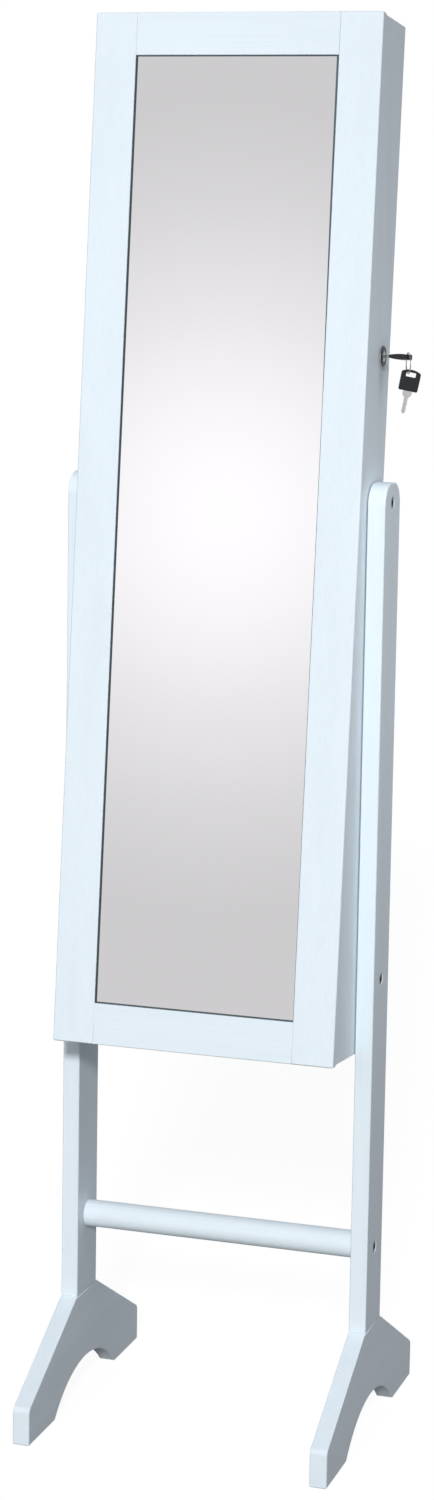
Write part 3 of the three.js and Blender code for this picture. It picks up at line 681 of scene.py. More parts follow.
def eased(piece: bpy.types.Object, width: float, segments: int = 3, angle: float = 30.0,
          chosen: Callable[[Vector, Vector], float] | None = None) -> bpy.types.Object:
    """The piece with its sharp edges rounded over.

    Args:
        piece: The piece, in its own axes.
        width: The rounding's width in the piece's units.
        segments: Steps across the rounding.
        angle: The smallest angle of an edge that is rounded, in degrees.
        chosen: Gives the share of the width for an edge between two points; all edges get 1 without it.

    Returns:
        The new piece, smooth shaded, its flat faces kept flat.
    """
    shape = bmesh.new()
    shape.from_mesh(piece.data)
    bmesh.ops.remove_doubles(shape, verts=shape.verts, dist=1e-4)
    bmesh.ops.dissolve_limit(shape, angle_limit=math.radians(0.3), verts=shape.verts, edges=shape.edges)
    weights = shape.edges.layers.float.new("bevel_weight_edge")
    for edge in shape.edges:
        if len(edge.link_faces) == 2 and edge.calc_face_angle(0.0) > math.radians(angle):
            edge[weights] = chosen(edge.verts[0].co, edge.verts[1].co) if chosen else 1.0
    shape.to_mesh(piece.data)
    shape.free()
    bevel = piece.modifiers.new("ease", "BEVEL")
    bevel.width = width
    bevel.segments = segments
    bevel.limit_method = "WEIGHT"
    bevel.use_clamp_overlap = False
    made = settled(piece)
    return smoothed(made)


def smoothed(piece: bpy.types.Object, angle: float = 40.0) -> bpy.types.Object:
    """Smooth shading, broken at edges sharper than the angle, with flat faces kept flat."""
    shape = bmesh.new()
    shape.from_mesh(piece.data)
    for face in shape.faces:
        face.smooth = True
    for edge in shape.edges:
        sharp = len(edge.link_faces) != 2 or edge.calc_face_angle(0.0) > math.radians(angle)
        edge.smooth = not sharp
    shape.to_mesh(piece.data)
    shape.free()
    weighted = piece.modifiers.new("flat faces", "WEIGHTED_NORMAL")
    weighted.keep_sharp = True
    weighted.weight = 90
    return settled(piece)


def cad_copy(name: str, node: str, axes: Axes) -> bpy.types.Object:
    """A merged copy of a CAD node's mesh in the given axes."""
    shape = bmesh.new()
    shape.from_mesh(frame["nodes"][node].data)
    bmesh.ops.transform(shape, matrix=axes.to_row.inverted(), verts=shape.verts)
    bmesh.ops.remove_doubles(shape, verts=shape.verts, dist=1e-3)
    mesh = bpy.data.meshes.new(name)
    shape.to_mesh(mesh)
    shape.free()
    return link(name, mesh)


def arc(centre: tuple[float, float], radius: float, start: float, end: float,
        steps: int) -> list[tuple[float, float]]:
    """Points on an arc, its ends included, with the angles in degrees."""
    angles = [math.radians(start + (end - start) * i / steps) for i in range(steps + 1)]
    return [(centre[0] + radius * math.cos(a), centre[1] + radius * math.sin(a)) for a in angles]


# ---------------------------------------------------------------- dressing


def dress(piece: bpy.types.Object, axes: Axes, body: str, finish: Finish, slot: str,
          *nodes: str) -> bpy.types.Object:
    """Puts a finished piece in its place in the row frame and hands it to its body.

    Args:
        piece: The piece, in its own axes.
        axes: Those axes.
        body: The CAD body that it moves with.
        finish: Its finish; a piece that already has materials keeps them.
        slot: The record's material slot; not used.
        nodes: The CAD nodes that it stands for.

    Returns:
        The piece.
    """
    piece.data.transform(axes.to_row)
    if not piece.data.materials:
        piece.data.materials.append(finish.material())
    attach(piece, body)
    if nodes:
        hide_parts(*nodes)
    log.info("%s: %d faces, rides on %s, stands for %s", piece.name, len(piece.data.polygons), body,
             ", ".join(nodes) or "nothing")
    return piece


def refinish(finish: Finish, *nodes: str) -> None:
    """Gives CAD nodes that keep their shape a better finish."""
    for node in nodes:
        mesh_object = frame["nodes"][node]
        if not mesh_object.material_slots:
            mesh_object.data.materials.append(None)
        for holder in mesh_object.material_slots:
            holder.link = "OBJECT"
            holder.material = finish.material()
        log.info("%s: CAD shape kept, finish %s", node, finish.name)


# ---------------------------------------------------------------- geometry nodes


class Recipe:
    """A Geometry Nodes tree being built, with named inputs."""

    def __init__(self, name: str, inputs: dict[str, str]) -> None:
        """Starts a tree with a geometry input and these further inputs, by name and socket type."""
        self.tree = bpy.data.node_groups.new(name, "GeometryNodeTree")
        ports = self.tree.interface
        ports.new_socket("Geometry", in_out="INPUT", socket_type="NodeSocketGeometry")
        for label, kind in inputs.items():
            ports.new_socket(label, in_out="INPUT", socket_type=kind)
        ports.new_socket("Finish", in_out="INPUT", socket_type="NodeSocketMaterial")
        ports.new_socket("Geometry", in_out="OUTPUT", socket_type="NodeSocketGeometry")
        self.entry = self.tree.nodes.new("NodeGroupInput")
        self.exit = self.tree.nodes.new("NodeGroupOutput")

    def given(self, label: str) -> bpy.types.NodeSocket:
        """The socket of a named input."""
        return self.entry.outputs[label]

    def add(self, kind: str, settings: dict | None = None, inputs: dict | None = None,
            output: int | str = 0) -> bpy.types.NodeSocket:
        """Adds one node.

        Args:
            kind: The node's type.
            settings: Its own properties.
            inputs: Values or sockets by socket name or number.
            output: Which output to return.

        Returns:
            That output's socket.
        """
        node = self.tree.nodes.new(kind)
        for name, value in (settings or {}).items():
            setattr(node, name, value)
        for key, value in (inputs or {}).items():
            if isinstance(value, bpy.types.NodeSocket):
                self.tree.links.new(value, node.inputs[key])
            else:
                node.inputs[key].default_value = value
        return node.outputs[output]

    def end(self, geometry: bpy.types.NodeSocket) -> None:
        """Closes the tree: instances made real, then the finish."""
        real = self.add("GeometryNodeRealizeInstances", None, {"Geometry": geometry})
        painted = self.add("GeometryNodeSetMaterial", None, {"Geometry": real, "Material": self.given("Finish")})
        self.tree.links.new(painted, self.exit.inputs["Geometry"])

    def make(self, name: str, base: bpy.types.Mesh, values: dict) -> bpy.types.Object:
        """Runs the tree on a mesh.

        Args:
            name: The new object's name.
            base: The mesh that the tree starts from.
            values: The named inputs' values.

        Returns:
            The result as a plain mesh object.
        """
        holder = link(name, base)
        modifier = holder.modifiers.new("recipe", "NODES")
        modifier.node_group = self.tree
        for item in self.tree.interface.items_tree:
            if item.in_out == "INPUT" and item.name in values:
                modifier[item.identifier] = values[item.name]
        return settled(holder)


def scatter_recipe() -> Recipe:
    """Copies of a template at each vertex of the base, turned by its "turn" attribute."""
    recipe = Recipe("fittings_at_places", {"Template": "NodeSocketObject"})
    points = recipe.add("GeometryNodeMeshToPoints", None, {"Mesh": recipe.given("Geometry")})
    turn = recipe.add("GeometryNodeInputNamedAttribute", {"data_type": "FLOAT_VECTOR"}, {"Name": "turn"})
    rotation = recipe.add("FunctionNodeEulerToRotation", None, {0: turn})
    template = recipe.add("GeometryNodeObjectInfo", None, {"Object": recipe.given("Template")}, "Geometry")
    copies = recipe.add("GeometryNodeInstanceOnPoints", None,
                        {"Points": points, "Instance": template, "Rotation": rotation})
    recipe.end(copies)
    return recipe


def row_recipe() -> Recipe:
    """Copies of a template in a straight row: Count of them, Step apart, from Start."""
    recipe = Recipe("fittings_in_a_row", {
        "Template": "NodeSocketObject", "Count": "NodeSocketInt", "Start": "NodeSocketVector",
        "Step": "NodeSocketVector"})
    line = recipe.add("GeometryNodeMeshLine", {"mode": "OFFSET"}, {
        "Count": recipe.given("Count"), "Start Location": recipe.given("Start"),
        "Offset": recipe.given("Step")})
    template = recipe.add("GeometryNodeObjectInfo", None, {"Object": recipe.given("Template")}, "Geometry")
    copies = recipe.add("GeometryNodeInstanceOnPoints", None, {"Points": line, "Instance": template})
    recipe.end(copies)
    return recipe


def coil_recipe() -> Recipe:
    """A round wire wound in a coil about Z: Turns of Radius that climb Rise, in wire of Wire radius."""
    recipe = Recipe("wound_wire", {
        "Radius": "NodeSocketFloat", "Turns": "NodeSocketFloat", "Rise": "NodeSocketFloat",
        "Wire": "NodeSocketFloat", "Steps": "NodeSocketInt", "Sides": "NodeSocketInt"})
    spiral = recipe.add("GeometryNodeCurveSpiral", None, {
        "Resolution": recipe.given("Steps"), "Rotations": recipe.given("Turns"),
        "Start Radius": recipe.given("Radius"), "End Radius": recipe.given("Radius"),
        "Height": recipe.given("Rise")})
    section = recipe.add("GeometryNodeCurvePrimitiveCircle", None,
                         {"Resolution": recipe.given("Sides"), "Radius": recipe.given("Wire")})
    wound = recipe.add("GeometryNodeCurveToMesh", None,
                       {"Curve": spiral, "Profile Curve": section, "Fill Caps": True})
    recipe.end(wound)
    return recipe


class Place:
    """Where one copy of a fitting goes, and how it is turned."""

    def __init__(self, at: Sequence[float], turn: Sequence[float] = (0, 0, 0)) -> None:
        """Takes a point in the assembly's axes and Euler angles in degrees."""
        self.at = Vector(at)
        self.turn = Vector(math.radians(angle) for angle in turn)


def scattered(name: str, template: bpy.types.Object, places: Sequence[Place],
              finish: Finish) -> bpy.types.Object:
    """Copies of a template at the places, as one mesh; the template is used up."""
    mesh = bpy.data.meshes.new(name)
    mesh.from_pydata([place.at for place in places], [], [])
    turns = mesh.attributes.new("turn", "FLOAT_VECTOR", "POINT")
    for item, place in zip(turns.data, places):
        item.vector = place.turn
    values = {"Template": template, "Finish": finish.material()}
    made = SCATTER.make(name, mesh, values)
    discard(template)
    return made


def in_a_row(name: str, template: bpy.types.Object, count: int, start: Sequence[float],
             step: Sequence[float], finish: Finish) -> bpy.types.Object:
    """Copies of a template in a straight row, as one mesh; the template is used up."""
    values = {"Template": template, "Count": count, "Start": start, "Step": step,
              "Finish": finish.material()}
    made = ROW.make(name, bpy.data.meshes.new(name), values)
    discard(template)
    return made


SCATTER = scatter_recipe()
ROW = row_recipe()
COIL = coil_recipe()


# ---------------------------------------------------------------- stand


@dataclass
class Stand:
    """Two posts on arched feet, held apart by two round crossbars and drawn up with cap screws."""

    axes: Axes
    post_head_radius: float = 23.0
    post_easing: float = 1.3
    foot_easing: float = 1.5
    head_radius: float = 6.0
    head_height: float = 4.0
    head_below_face: float = 0.4
    socket_radius: float = 2.5
    socket_depth: float = 2.4
    shank_radius: float = 3.0
    clearance: float = 0.3
    pocket_lip: float = 0.35
    bore_ease: float = 7.5
    bar_easing: float = 0.9
    body: str = "stand"

    def build(self) -> None:
        """Builds and dresses every piece of the stand."""
        for hand, side in (("left", -1), ("right", 1)):
            self.post(hand, side)
            self.foot(hand)
        for node in ("lower_crossbar", "stop_crossbar"):
            self.crossbar(node)
        self.screws()

    def screw_levels(self) -> list[float]:
        """The heights of the holes through a post, from the top."""
        pivot = self.axes.to_row.inverted() @ Vector(joint("cabinet_tilt")["pos_m"])
        stop = middle(*self.axes.box("stop_crossbar"))
        lower = middle(*self.axes.box("lower_crossbar"))
        return [pivot.z, stop.z, lower.z]

    def post(self, hand: str, side: int) -> None:
        """One post: a board with a rounded head, bored and pocketed for its screws."""
        low, high = self.axes.box(f"{hand}_post")
        radius = self.post_head_radius
        centre = high.z - radius
        outline = [(low.y, low.z), (high.y, low.z)]
        outline += arc((high.y - radius, centre), radius, 0, 90, 20)
        outline += arc((low.y + radius, centre), radius, 90, 180, 20)
        blank = eased(extruded(f"{hand}_post_board", outline, low.x, high.x), self.post_easing)
        outer, inner = (high.x, low.x) if side > 0 else (low.x, high.x)
        floor = outer - side * (self.head_below_face + self.head_height + self.clearance)
        bore, pocket = self.shank_radius + self.clearance, self.head_radius + self.clearance
        cutters = []
        for level in self.screw_levels():
            rings = [(inner - side * 2, 0), (inner - side * 2, bore), (floor, bore), (floor, pocket),
                     (outer - side * self.pocket_lip, pocket),
                     (outer + side * self.pocket_lip, pocket + 2 * self.pocket_lip),
                     (outer + side * 2, pocket + 2 * self.pocket_lip), (outer + side * 2, 0)]
            cutter = turned("hole", rings)
            cutter.data.transform(Matrix.Translation((0, 0, level)))
            cutters.append(cutter)
        screw_low, screw_high = self.axes.box(f"{hand}_foot_screw")
        foot_bore = turned("hole", [(low.z - 2, 0), (low.z - 2, bore), (screw_high.z + self.clearance, bore),
                                    (screw_high.z + self.clearance, 0)])
        foot_bore.data.transform(Matrix.Translation(((screw_low.x + screw_high.x) / 2, 0, 0))
                                 @ Matrix.Rotation(-math.pi / 2, 4, "Y"))
        made = smoothed(carved(blank, [*cutters, foot_bore]))
        dress(made, self.axes, self.body, PAINT_UPRIGHT, "white_paint", f"{hand}_post")

    def foot(self, hand: str) -> None:
        """One arched foot with softly rounded edges, left crisp round the screw's bore."""
        bore = middle(*self.axes.box(f"{hand}_foot_screw"))

        def share(first: Vector, second: Vector) -> float:
            """No rounding at the bore."""
            near = max((point - bore).xy.length for point in (first, second))
            return 0.0 if near < self.bore_ease else 1.0

        copy = cad_copy(f"{hand}_foot_board", f"{hand}_foot", self.axes)
        made = eased(copy, self.foot_easing, chosen=share, angle=35.0)
        dress(made, self.axes, self.body, PAINT_DEPTH, "white_paint", f"{hand}_foot")

    def crossbar(self, node: str) -> None:
        """A turned bar with eased ends, bored at both ends for its screws."""
        low, high = self.axes.box(node)
        radius = (high.z - low.z) / 2
        end, ease = high.x, self.bar_easing
        screw_low, _ = self.axes.box("right_lower_bar_screw")
        deep = screw_low.x - self.clearance
        bore = self.shank_radius + self.clearance
        half = [(deep, 0), (deep, bore), (end, bore), (end, radius - ease),
                (end - 0.3 * ease, radius - 0.3 * ease), (end - ease, radius)]
        rings = [(-along, reach) for along, reach in half] + half[::-1]
        made = smoothed(turned(f"{node}_bar", rings, sides=72), 35.0)
        made.data.transform(Matrix.Translation((0, 0, (low.z + high.z) / 2)))
        dress(made, self.axes, self.body, PAINT_ACROSS, "white_paint", node)

    def screws(self) -> None:
        """The stand's cap screws: long ones up through the feet, short ones into the crossbars."""
        low, high = self.axes.box("left_foot_screw")
        _, far = self.axes.box("right_foot_screw")
        upright = [Place((x, 0, low.z + self.head_height), (0, 90, 0))
                   for x in ((low.x + high.x) / 2, far.x - (high.x - low.x) / 2)]
        long = cap_screw("cap_screw", high.z - low.z - self.head_height, self)
        made = scattered("foot_cap_screws", long, upright, DARK_STEEL)
        dress(made, self.axes, self.body, DARK_STEEL, "steel", "left_foot_screw", "right_foot_screw")
        places, nodes = [], []
        low, high = self.axes.box("right_lower_bar_screw")
        for where, level in zip(("stop", "lower"), self.screw_levels()[1:]):
            for hand, turn in (("left", 180), ("right", 0)):
                side = 1 if turn == 0 else -1
                places.append(Place((side * (high.x - self.head_height), 0, level), (0, 0, turn)))
                nodes.append(f"{hand}_{where}_bar_screw")
        short = cap_screw("cap_screw", high.x - low.x - self.head_height, self)
        made = scattered("crossbar_cap_screws", short, places, DARK_STEEL)
        dress(made, self.axes, self.body, DARK_STEEL, "steel", *nodes)


def cap_screw(name: str, length: float, sizes: Stand) -> bpy.types.Object:
    """A cap screw along X, the underside of its head at x = 0 and its tip at x = -length.

    Args:
        name: The object's name.
        length: From under the head to the tip.
        sizes: The stand, whose fields give the head and the shank.

    Returns:
        The screw, with a threaded end and a six-sided socket.
    """
    head, shank, top = sizes.head_radius, sizes.shank_radius, sizes.head_height
    pitch, cut = 1.25, 0.35
    rings: list[Ring | tuple[float, float]] = [(-length, 0), (-length, shank - 0.9)]
    threads = int(min(length - 6, 26) / pitch)
    for i in range(threads):
        foot = -length + 0.8 + i * pitch
        rings += [(foot, shank - cut), (foot + pitch / 2, shank)]
    start = -length + 0.8 + threads * pitch
    rings += [(start, shank - cut / 2), (0, shank - cut / 2), (0, head - 0.3), (0.3, head),
              (top - 0.9, head), (top - 0.35, head - 0.25), (top, head - 1.0)]
    socket, depth = sizes.socket_radius, sizes.socket_depth
    rings += [(top, socket + 0.25), Ring(top - 0.25, socket, RingShape.HEXAGON),
              Ring(top - depth, socket, RingShape.HEXAGON), (top - depth - 0.6, 0)]
    return smoothed(turned(name, rings), 35.0)


# ---------------------------------------------------------------- cabinet body


@dataclass
class CabinetShell:
    """The leaning box: sides, top, bottom, back and shelves."""

    axes: Axes
    panel_easing: float = 0.8
    shelf_easing: float = 0.6
    hinge_levels: tuple[float, ...] = (150.0, 540.0, 930.0)
    hinge_zone: float = 28.0
    shortest_eased: float = 12.0
    brad_radius: float = 2.6
    brad_inset: float = 5.0
    brad_spacing: float = 118.0
    body: str = "cabinet"

    def build(self) -> None:
        """Builds and dresses every board of the shell."""
        for node in ("left_side_panel", "right_side_panel"):
            self.board(node, self.panel_easing, PAINT_LEANING)
        for node in ("top_panel", "bottom_panel", "back_panel"):
            finish = PAINT_LEANING if node == "back_panel" else PAINT_LEANING_ACROSS
            self.board(node, min(self.panel_easing, 0.5), finish)
        for node in ("upper_shelf", "middle_shelf", "lower_shelf"):
            self.board(node, self.shelf_easing, PAINT_LEANING_ACROSS)
        self.brads()

    def share(self, first: Vector, second: Vector) -> float:
        """Rounds the long edges only, clear of the hinges' pockets."""
        if (first - second).length < self.shortest_eased:
            return 0.0
        for level in self.hinge_levels:
            if max(abs(first.z - level), abs(second.z - level)) < self.hinge_zone:
                return 0.0
        return 1.0

    def board(self, node: str, easing: float, finish: Finish) -> None:
        """One board with its edges eased."""
        copy = cad_copy(f"{node}_board", node, self.axes)
        made = eased(copy, easing, chosen=self.share)
        dress(made, self.axes, self.body, finish, "white_paint", node)

    def brads(self) -> None:
        """Flat-headed brads that hold the back board, in a line round its rim."""
        low, high = self.axes.box("back_panel")
        face = high.y
        places = []
        for x in (low.x + self.brad_inset, high.x - self.brad_inset):
            count = round((high.z - low.z) / self.brad_spacing)
            for i in range(count + 1):
                z = low.z + self.brad_inset + i * (high.z - low.z - 2 * self.brad_inset) / count
                places.append(Place((x, face, z), (0, 0, 90)))
        for z in (low.z + self.brad_inset, high.z - self.brad_inset):
            for x in (-70.0, 0.0, 70.0):
                places.append(Place((x, face, z), (0, 0, 90)))
        radius = self.brad_radius
        rings = [(-1.2, 0), (-1.2, radius * 0.5), (-0.32, radius), (-0.08, radius), (-0.02, radius - 0.25),
                 (-0.02, 0)]
        head = smoothed(turned("brad", rings, sides=16))
        made = scattered("back_board_brads", head, places, STEEL)
        dress(made, self.axes, self.body, STEEL, "steel")


# ---------------------------------------------------------------- door


@dataclass
class Door:
    """The mirror door: two stiles, two rails, the glass and its backing."""

    axes: Axes
    outer_easing: float = 1.5
    sight_share: float = 0.4
    joint_share: float = 0.04
    joint_air: float = 0.04
    # Sizes of a dark strip of painted shade in the recess round the glass; the right side's (share of height from the
    # top, width) pairs make it widest at the top.
    shade_strip_front: float = 0.5
    shade_strip_air: float = 0.04
    shade_strip_left: float = 0.6
    shade_strip_top: float = 0.6
    shade_strip_bottom: float = 0.9
    shade_strip_right: tuple[Span, ...] = ((0.0, 2.2), (0.15, 1.9), (0.26, 1.1), (0.36, 0.35), (1.0, 0.3))
    hinge_zone: float = 28.0
    hinge_levels: tuple[float, ...] = (150.0, 540.0, 930.0)
    body: str = "door"

    def build(self) -> None:
        """Builds and dresses the door's boards and glass."""
        low, high = self.axes.box("left_stile")
        self.half, self.height, self.thickness = -low.x, high.z, high.y
        self.sight = -high.x
        for node in ("left_stile", "right_stile"):
            self.board(node, PAINT_LEANING)
        for node in ("top_rail", "bottom_rail"):
            self.board(node, PAINT_LEANING_ACROSS)
        # Painted shade: a dark strip in the recess round the glass.
        self.glazing_bead()
        refinish(MIRROR_GLASS, "mirror")
        refinish(BOARD, "door_backing")

    def share(self, first: Vector, second: Vector) -> float:
        """The outer edges are rounded most, the sight edges less and the joints hardly at all."""
        if (first - second).length < 4.0:
            return 0.0
        for level in self.hinge_levels:
            if first.x < 0 and max(abs(first.z - level), abs(second.z - level)) < self.hinge_zone:
                return 0.0
        centre = (first + second) / 2
        span = second - first
        rim = max(abs(centre.x) - self.half, -centre.z, centre.z - self.height) > -0.2
        if rim:
            along_depth = abs(span.y) > 4.0
            return self.joint_share if along_depth and abs(centre.x) < self.half - 1 else 1.0
        on_face = centre.y < 0.2 or centre.y > self.thickness - 0.2
        upright = abs(span.z) > 4.0
        if on_face and upright and abs(abs(centre.x) - self.sight) < 1.0:
            return self.sight_share
        if on_face and abs(centre.x) < self.sight + 1.0:
            return self.sight_share
        return self.joint_share

    def board(self, node: str, finish: Finish) -> None:
        """One board of the door's frame; a rail is drawn up close to its stiles."""
        copy = cad_copy(f"{node}_board", node, self.axes)
        if node.endswith("rail"):
            end = self.axes.box(node)[1].x
            copy.data.transform(Matrix.Scale((self.sight - self.joint_air) / end, 4, (1, 0, 0)))
        made = eased(copy, self.outer_easing, chosen=self.share)
        dress(made, self.axes, self.body, finish, "white_paint", node)

    def glazing_bead(self) -> None:
        """A thin dark strip round the glass, in the recess in front of it: painted shade of the recess, widest at the
        top of the right side and narrowing downwards.
        """
        foot = self.axes.box("bottom_rail")[1].z + self.shade_strip_air
        head = self.axes.box("top_rail")[0].z - self.shade_strip_air
        side = self.sight - self.shade_strip_air
        glass = self.axes.box("mirror")[0].y - self.shade_strip_air
        low, high = foot + self.shade_strip_bottom, head - self.shade_strip_top
        inner = [(side - width, high + (low - high) * share) for share, width in self.shade_strip_right]
        outlines = {
            "left": [(-side, low), (self.shade_strip_left - side, low), (self.shade_strip_left - side, high), (-side, high)],
            "right": [(side, low), (side, high), *inner],
            "top": [(-side, high), (side, high), (side, head), (-side, head)],
            "bottom": [(-side, foot), (side, foot), (side, low), (-side, low)]}
        bars = [extruded(f"{where}_bead", outline, self.shade_strip_front, glass, axes="XZY")
                for where, outline in outlines.items()]
        made = smoothed(merged("mirror_glazing_bead", bars))
        dress(made, self.axes, self.body, RECESS_SHADE_STRIP, "black_plastic")


# ---------------------------------------------------------------- small hardware


def countersunk_screw(name: str, radius: float, length: float, proud: float = 0.15) -> bpy.types.Object:
    """A flat-headed screw with a cross recess.

    Args:
        name: The object's name.
        radius: Its head's radius.
        length: Its length below the face.
        proud: How far its crown stands over the face, which is at x = 0.

    Returns:
        The screw, pointing along +X.
    """
    shank = radius * 0.42
    rings = [(-length, 0), (0.7 - length, shank), (-radius * 0.62, shank), (-0.1, radius), (0, radius),
             (proud * 0.6, radius * 0.88), (proud, radius * 0.66), Ring(proud, radius * 0.56, RingShape.CROSS),
             Ring(proud - 0.45, radius * 0.44, RingShape.CROSS), (proud - 0.6, 0)]
    return smoothed(turned(name, rings, sides=32), 30.0)


def pan_screw(name: str, radius: float, length: float, rise: float) -> bpy.types.Object:
    """A domed screw with a cross recess, the underside of its head at x = 0."""
    shank = radius * 0.45
    rings = [(-length, 0), (0.8 - length, shank), (0, shank), (0, radius * 0.96), (rise * 0.35, radius),
             (rise * 0.75, radius * 0.86), (rise, radius * 0.58), Ring(rise, radius * 0.5, RingShape.CROSS),
             Ring(rise - 0.6, radius * 0.4, RingShape.CROSS), (rise - 0.75, 0)]
    return smoothed(turned(name, rings, sides=32), 30.0)


@dataclass
class Pivots:
    """The screws, washers and inserts that the cabinet tilts on."""

    stand: Axes
    cabinet: Axes
    sizes: Stand
    washer_easing: float = 0.2
    insert_ridges: int = 5
    body: str = "cabinet"

    def build(self) -> None:
        """Builds and dresses both sides' pivots."""
        low, high = self.stand.box("right_pivot_screw")
        head = high.x - self.sizes.head_height
        level = middle(low, high).z
        template = cap_screw("cap_screw", head - low.x, self.sizes)
        places = [Place((-head, 0, level), (0, 0, 180)), Place((head, 0, level))]
        made = scattered("pivot_cap_screws", template, places, DARK_STEEL)
        dress(made, self.stand, self.body, DARK_STEEL, "steel", "left_pivot_screw", "right_pivot_screw")
        bore = self.sizes.shank_radius + self.sizes.clearance
        for hand in ("left", "right"):
            self.washer(hand, bore)
            self.insert(hand, bore)

    def washer(self, hand: str, bore: float) -> None:
        """A nylon washer with eased rims."""
        low, high = self.cabinet.box(f"{hand}_pivot_washer")
        radius, ease = (high.z - low.z) / 2, self.washer_easing
        rings = [(low.x, bore), (low.x, radius - ease), (low.x + ease, radius), (high.x - ease, radius),
                 (high.x, radius - ease), (high.x, bore)]
        made = smoothed(turned(f"{hand}_pivot_washer_disc", rings))
        centre = middle(low, high)
        made.data.transform(Matrix.Translation((0, centre.y, centre.z)))
        dress(made, self.cabinet, self.body, NYLON, "nylon", f"{hand}_pivot_washer")

    def insert(self, hand: str, bore: float) -> None:
        """A threaded brass insert with ridges that bite the board."""
        low, high = self.cabinet.box(f"{hand}_pivot_insert")
        radius, cut = (high.z - low.z) / 2, 0.3
        pitch = (high.x - low.x) / self.insert_ridges
        rings = [(low.x, bore)]
        for i in range(self.insert_ridges):
            foot = low.x + i * pitch
            rings += [(foot, radius - cut), (foot + 0.3 * pitch, radius), (foot + 0.7 * pitch, radius)]
        rings += [(high.x, radius - cut), (high.x, bore)]
        made = smoothed(turned(f"{hand}_pivot_insert_sleeve", rings), 25.0)
        centre = middle(low, high)
        made.data.transform(Matrix.Translation((0, centre.y, centre.z)))
        dress(made, self.cabinet, self.body, BRASS, "brass", f"{hand}_pivot_insert")


@dataclass
class Hinges:
    """Three butt hinges: rolled leaves, their pins and their screws."""

    axes: Axes
    levels: tuple[float, ...] = (150.0, 540.0, 930.0)
    names: tuple[str, ...] = ("lower", "middle", "upper")
    knuckle: float = 2.4
    bore: float = 1.45
    gap: float = 0.3
    leaf_easing: float = 0.12
    screw_radius: float = 1.9
    screw_length: float = 7.0
    screw_spacing: float = 17.0
    screw_reach: float = 6.2

    def build(self) -> None:
        """Builds and dresses the leaves of both bodies, the pins and the screws."""
        low, high = self.axes.box("lower_hinge_pin")
        self.line = middle(low, high)
        self.height = self.axes.box("lower_hinge_door_leaf")[1].z - self.axes.box("lower_hinge_door_leaf")[0].z
        third = self.height / 3
        half = self.height / 2
        ends = ((-half, -half + third - self.gap / 2), (half - third + self.gap / 2, half))
        centre = ((-half + third + self.gap / 2, half - third - self.gap / 2),)
        self.leaves("cabinet", ends)
        self.leaves("door", centre)
        self.pins(low, high)

    def row(self, name: str, template: bpy.types.Object, x: float, y: float, z: float,
            finish: Finish) -> bpy.types.Object:
        """The template once at each hinge."""
        step = (0.0, 0.0, self.levels[1] - self.levels[0])
        return in_a_row(name, template, len(self.levels), (x, y, self.levels[0] + z), step, finish)

    def leaves(self, body: str, knuckles: Sequence[Span]) -> None:
        """One body's leaves, with knuckles over the given heights, and their screws."""
        low, high = self.axes.box(f"lower_hinge_{body}_leaf")
        x_end = high.x - self.line.x
        side = 1 if body == "cabinet" else -1
        near, far = side * 0.35, side * 1.15
        plate = block(f"{body}_hinge_leaf", (self.knuckle + self.gap, x_end), sorted((near, far)),
                      (-self.height / 2, self.height / 2))
        rolled = [self.rolled(near, far, span) for span in knuckles]
        leaf = carved(plate, rolled, "UNION")
        pin_hole = turned("hole", [(-self.height, 0), (-self.height, self.bore), (self.height, self.bore),
                                   (self.height, 0)], sides=24)
        pin_hole.data.transform(Matrix.Rotation(math.pi / 2, 4, "Y"))
        leaf = smoothed(carved(leaf, [pin_hole]), 35.0)
        made = self.row(f"{body}_hinge_leaves", leaf, self.line.x, self.line.y, 0.0, STEEL)
        nodes = [f"{name}_hinge_{body}_leaf" for name in self.names]
        dress(made, self.axes, body, STEEL, "steel", *nodes)
        places = [Place((self.line.x + self.screw_reach, self.line.y + near, level + shift),
                        (0, 0, -90 * side))
                  for level in self.levels for shift in (-self.screw_spacing, 0.0, self.screw_spacing)]
        screw = countersunk_screw("screw", self.screw_radius, self.screw_length, proud=0.1)
        made = scattered(f"{body}_hinge_screws", screw, places, STEEL)
        dress(made, self.axes, body, STEEL, "steel")

    def rolled(self, near: float, far: float, span: Span) -> bpy.types.Object:
        """One knuckle rolled from its leaf."""
        start = math.degrees(math.asin(far / self.knuckle))
        end = math.degrees(math.asin(near / self.knuckle))
        turn = 360.0 if far > 0 else -360.0
        reach = self.knuckle + self.gap + 0.5
        outline = [(reach, far), *arc((0, 0), self.knuckle, start, end + turn, 28), (reach, near)]
        return extruded("knuckle", outline, *span, axes="XYZ")

    def pins(self, low: Vector, high: Vector) -> None:
        """Loose pins with domed heads."""
        shaft, head = 1.15, (high.x - low.x) / 2
        top = high.z - self.levels[0]
        foot = low.z - self.levels[0]
        rings = [(foot, 0), (foot, shaft * 0.8), (foot + 0.4, shaft), (top - 1.0, shaft), (top - 1.0, head),
                 (top - 0.5, head), (top - 0.15, head * 0.75), (top, head * 0.35), (top, 0)]
        pin = smoothed(turned("pin", rings, sides=24))
        pin.data.transform(Matrix.Rotation(-math.pi / 2, 4, "Y"))
        made = self.row("hinge_pins", pin, self.line.x, self.line.y, 0.0, STEEL)
        dress(made, self.axes, "cabinet", STEEL, "steel", *(f"{name}_hinge_pin" for name in self.names))


# ---------------------------------------------------------------- fittings inside


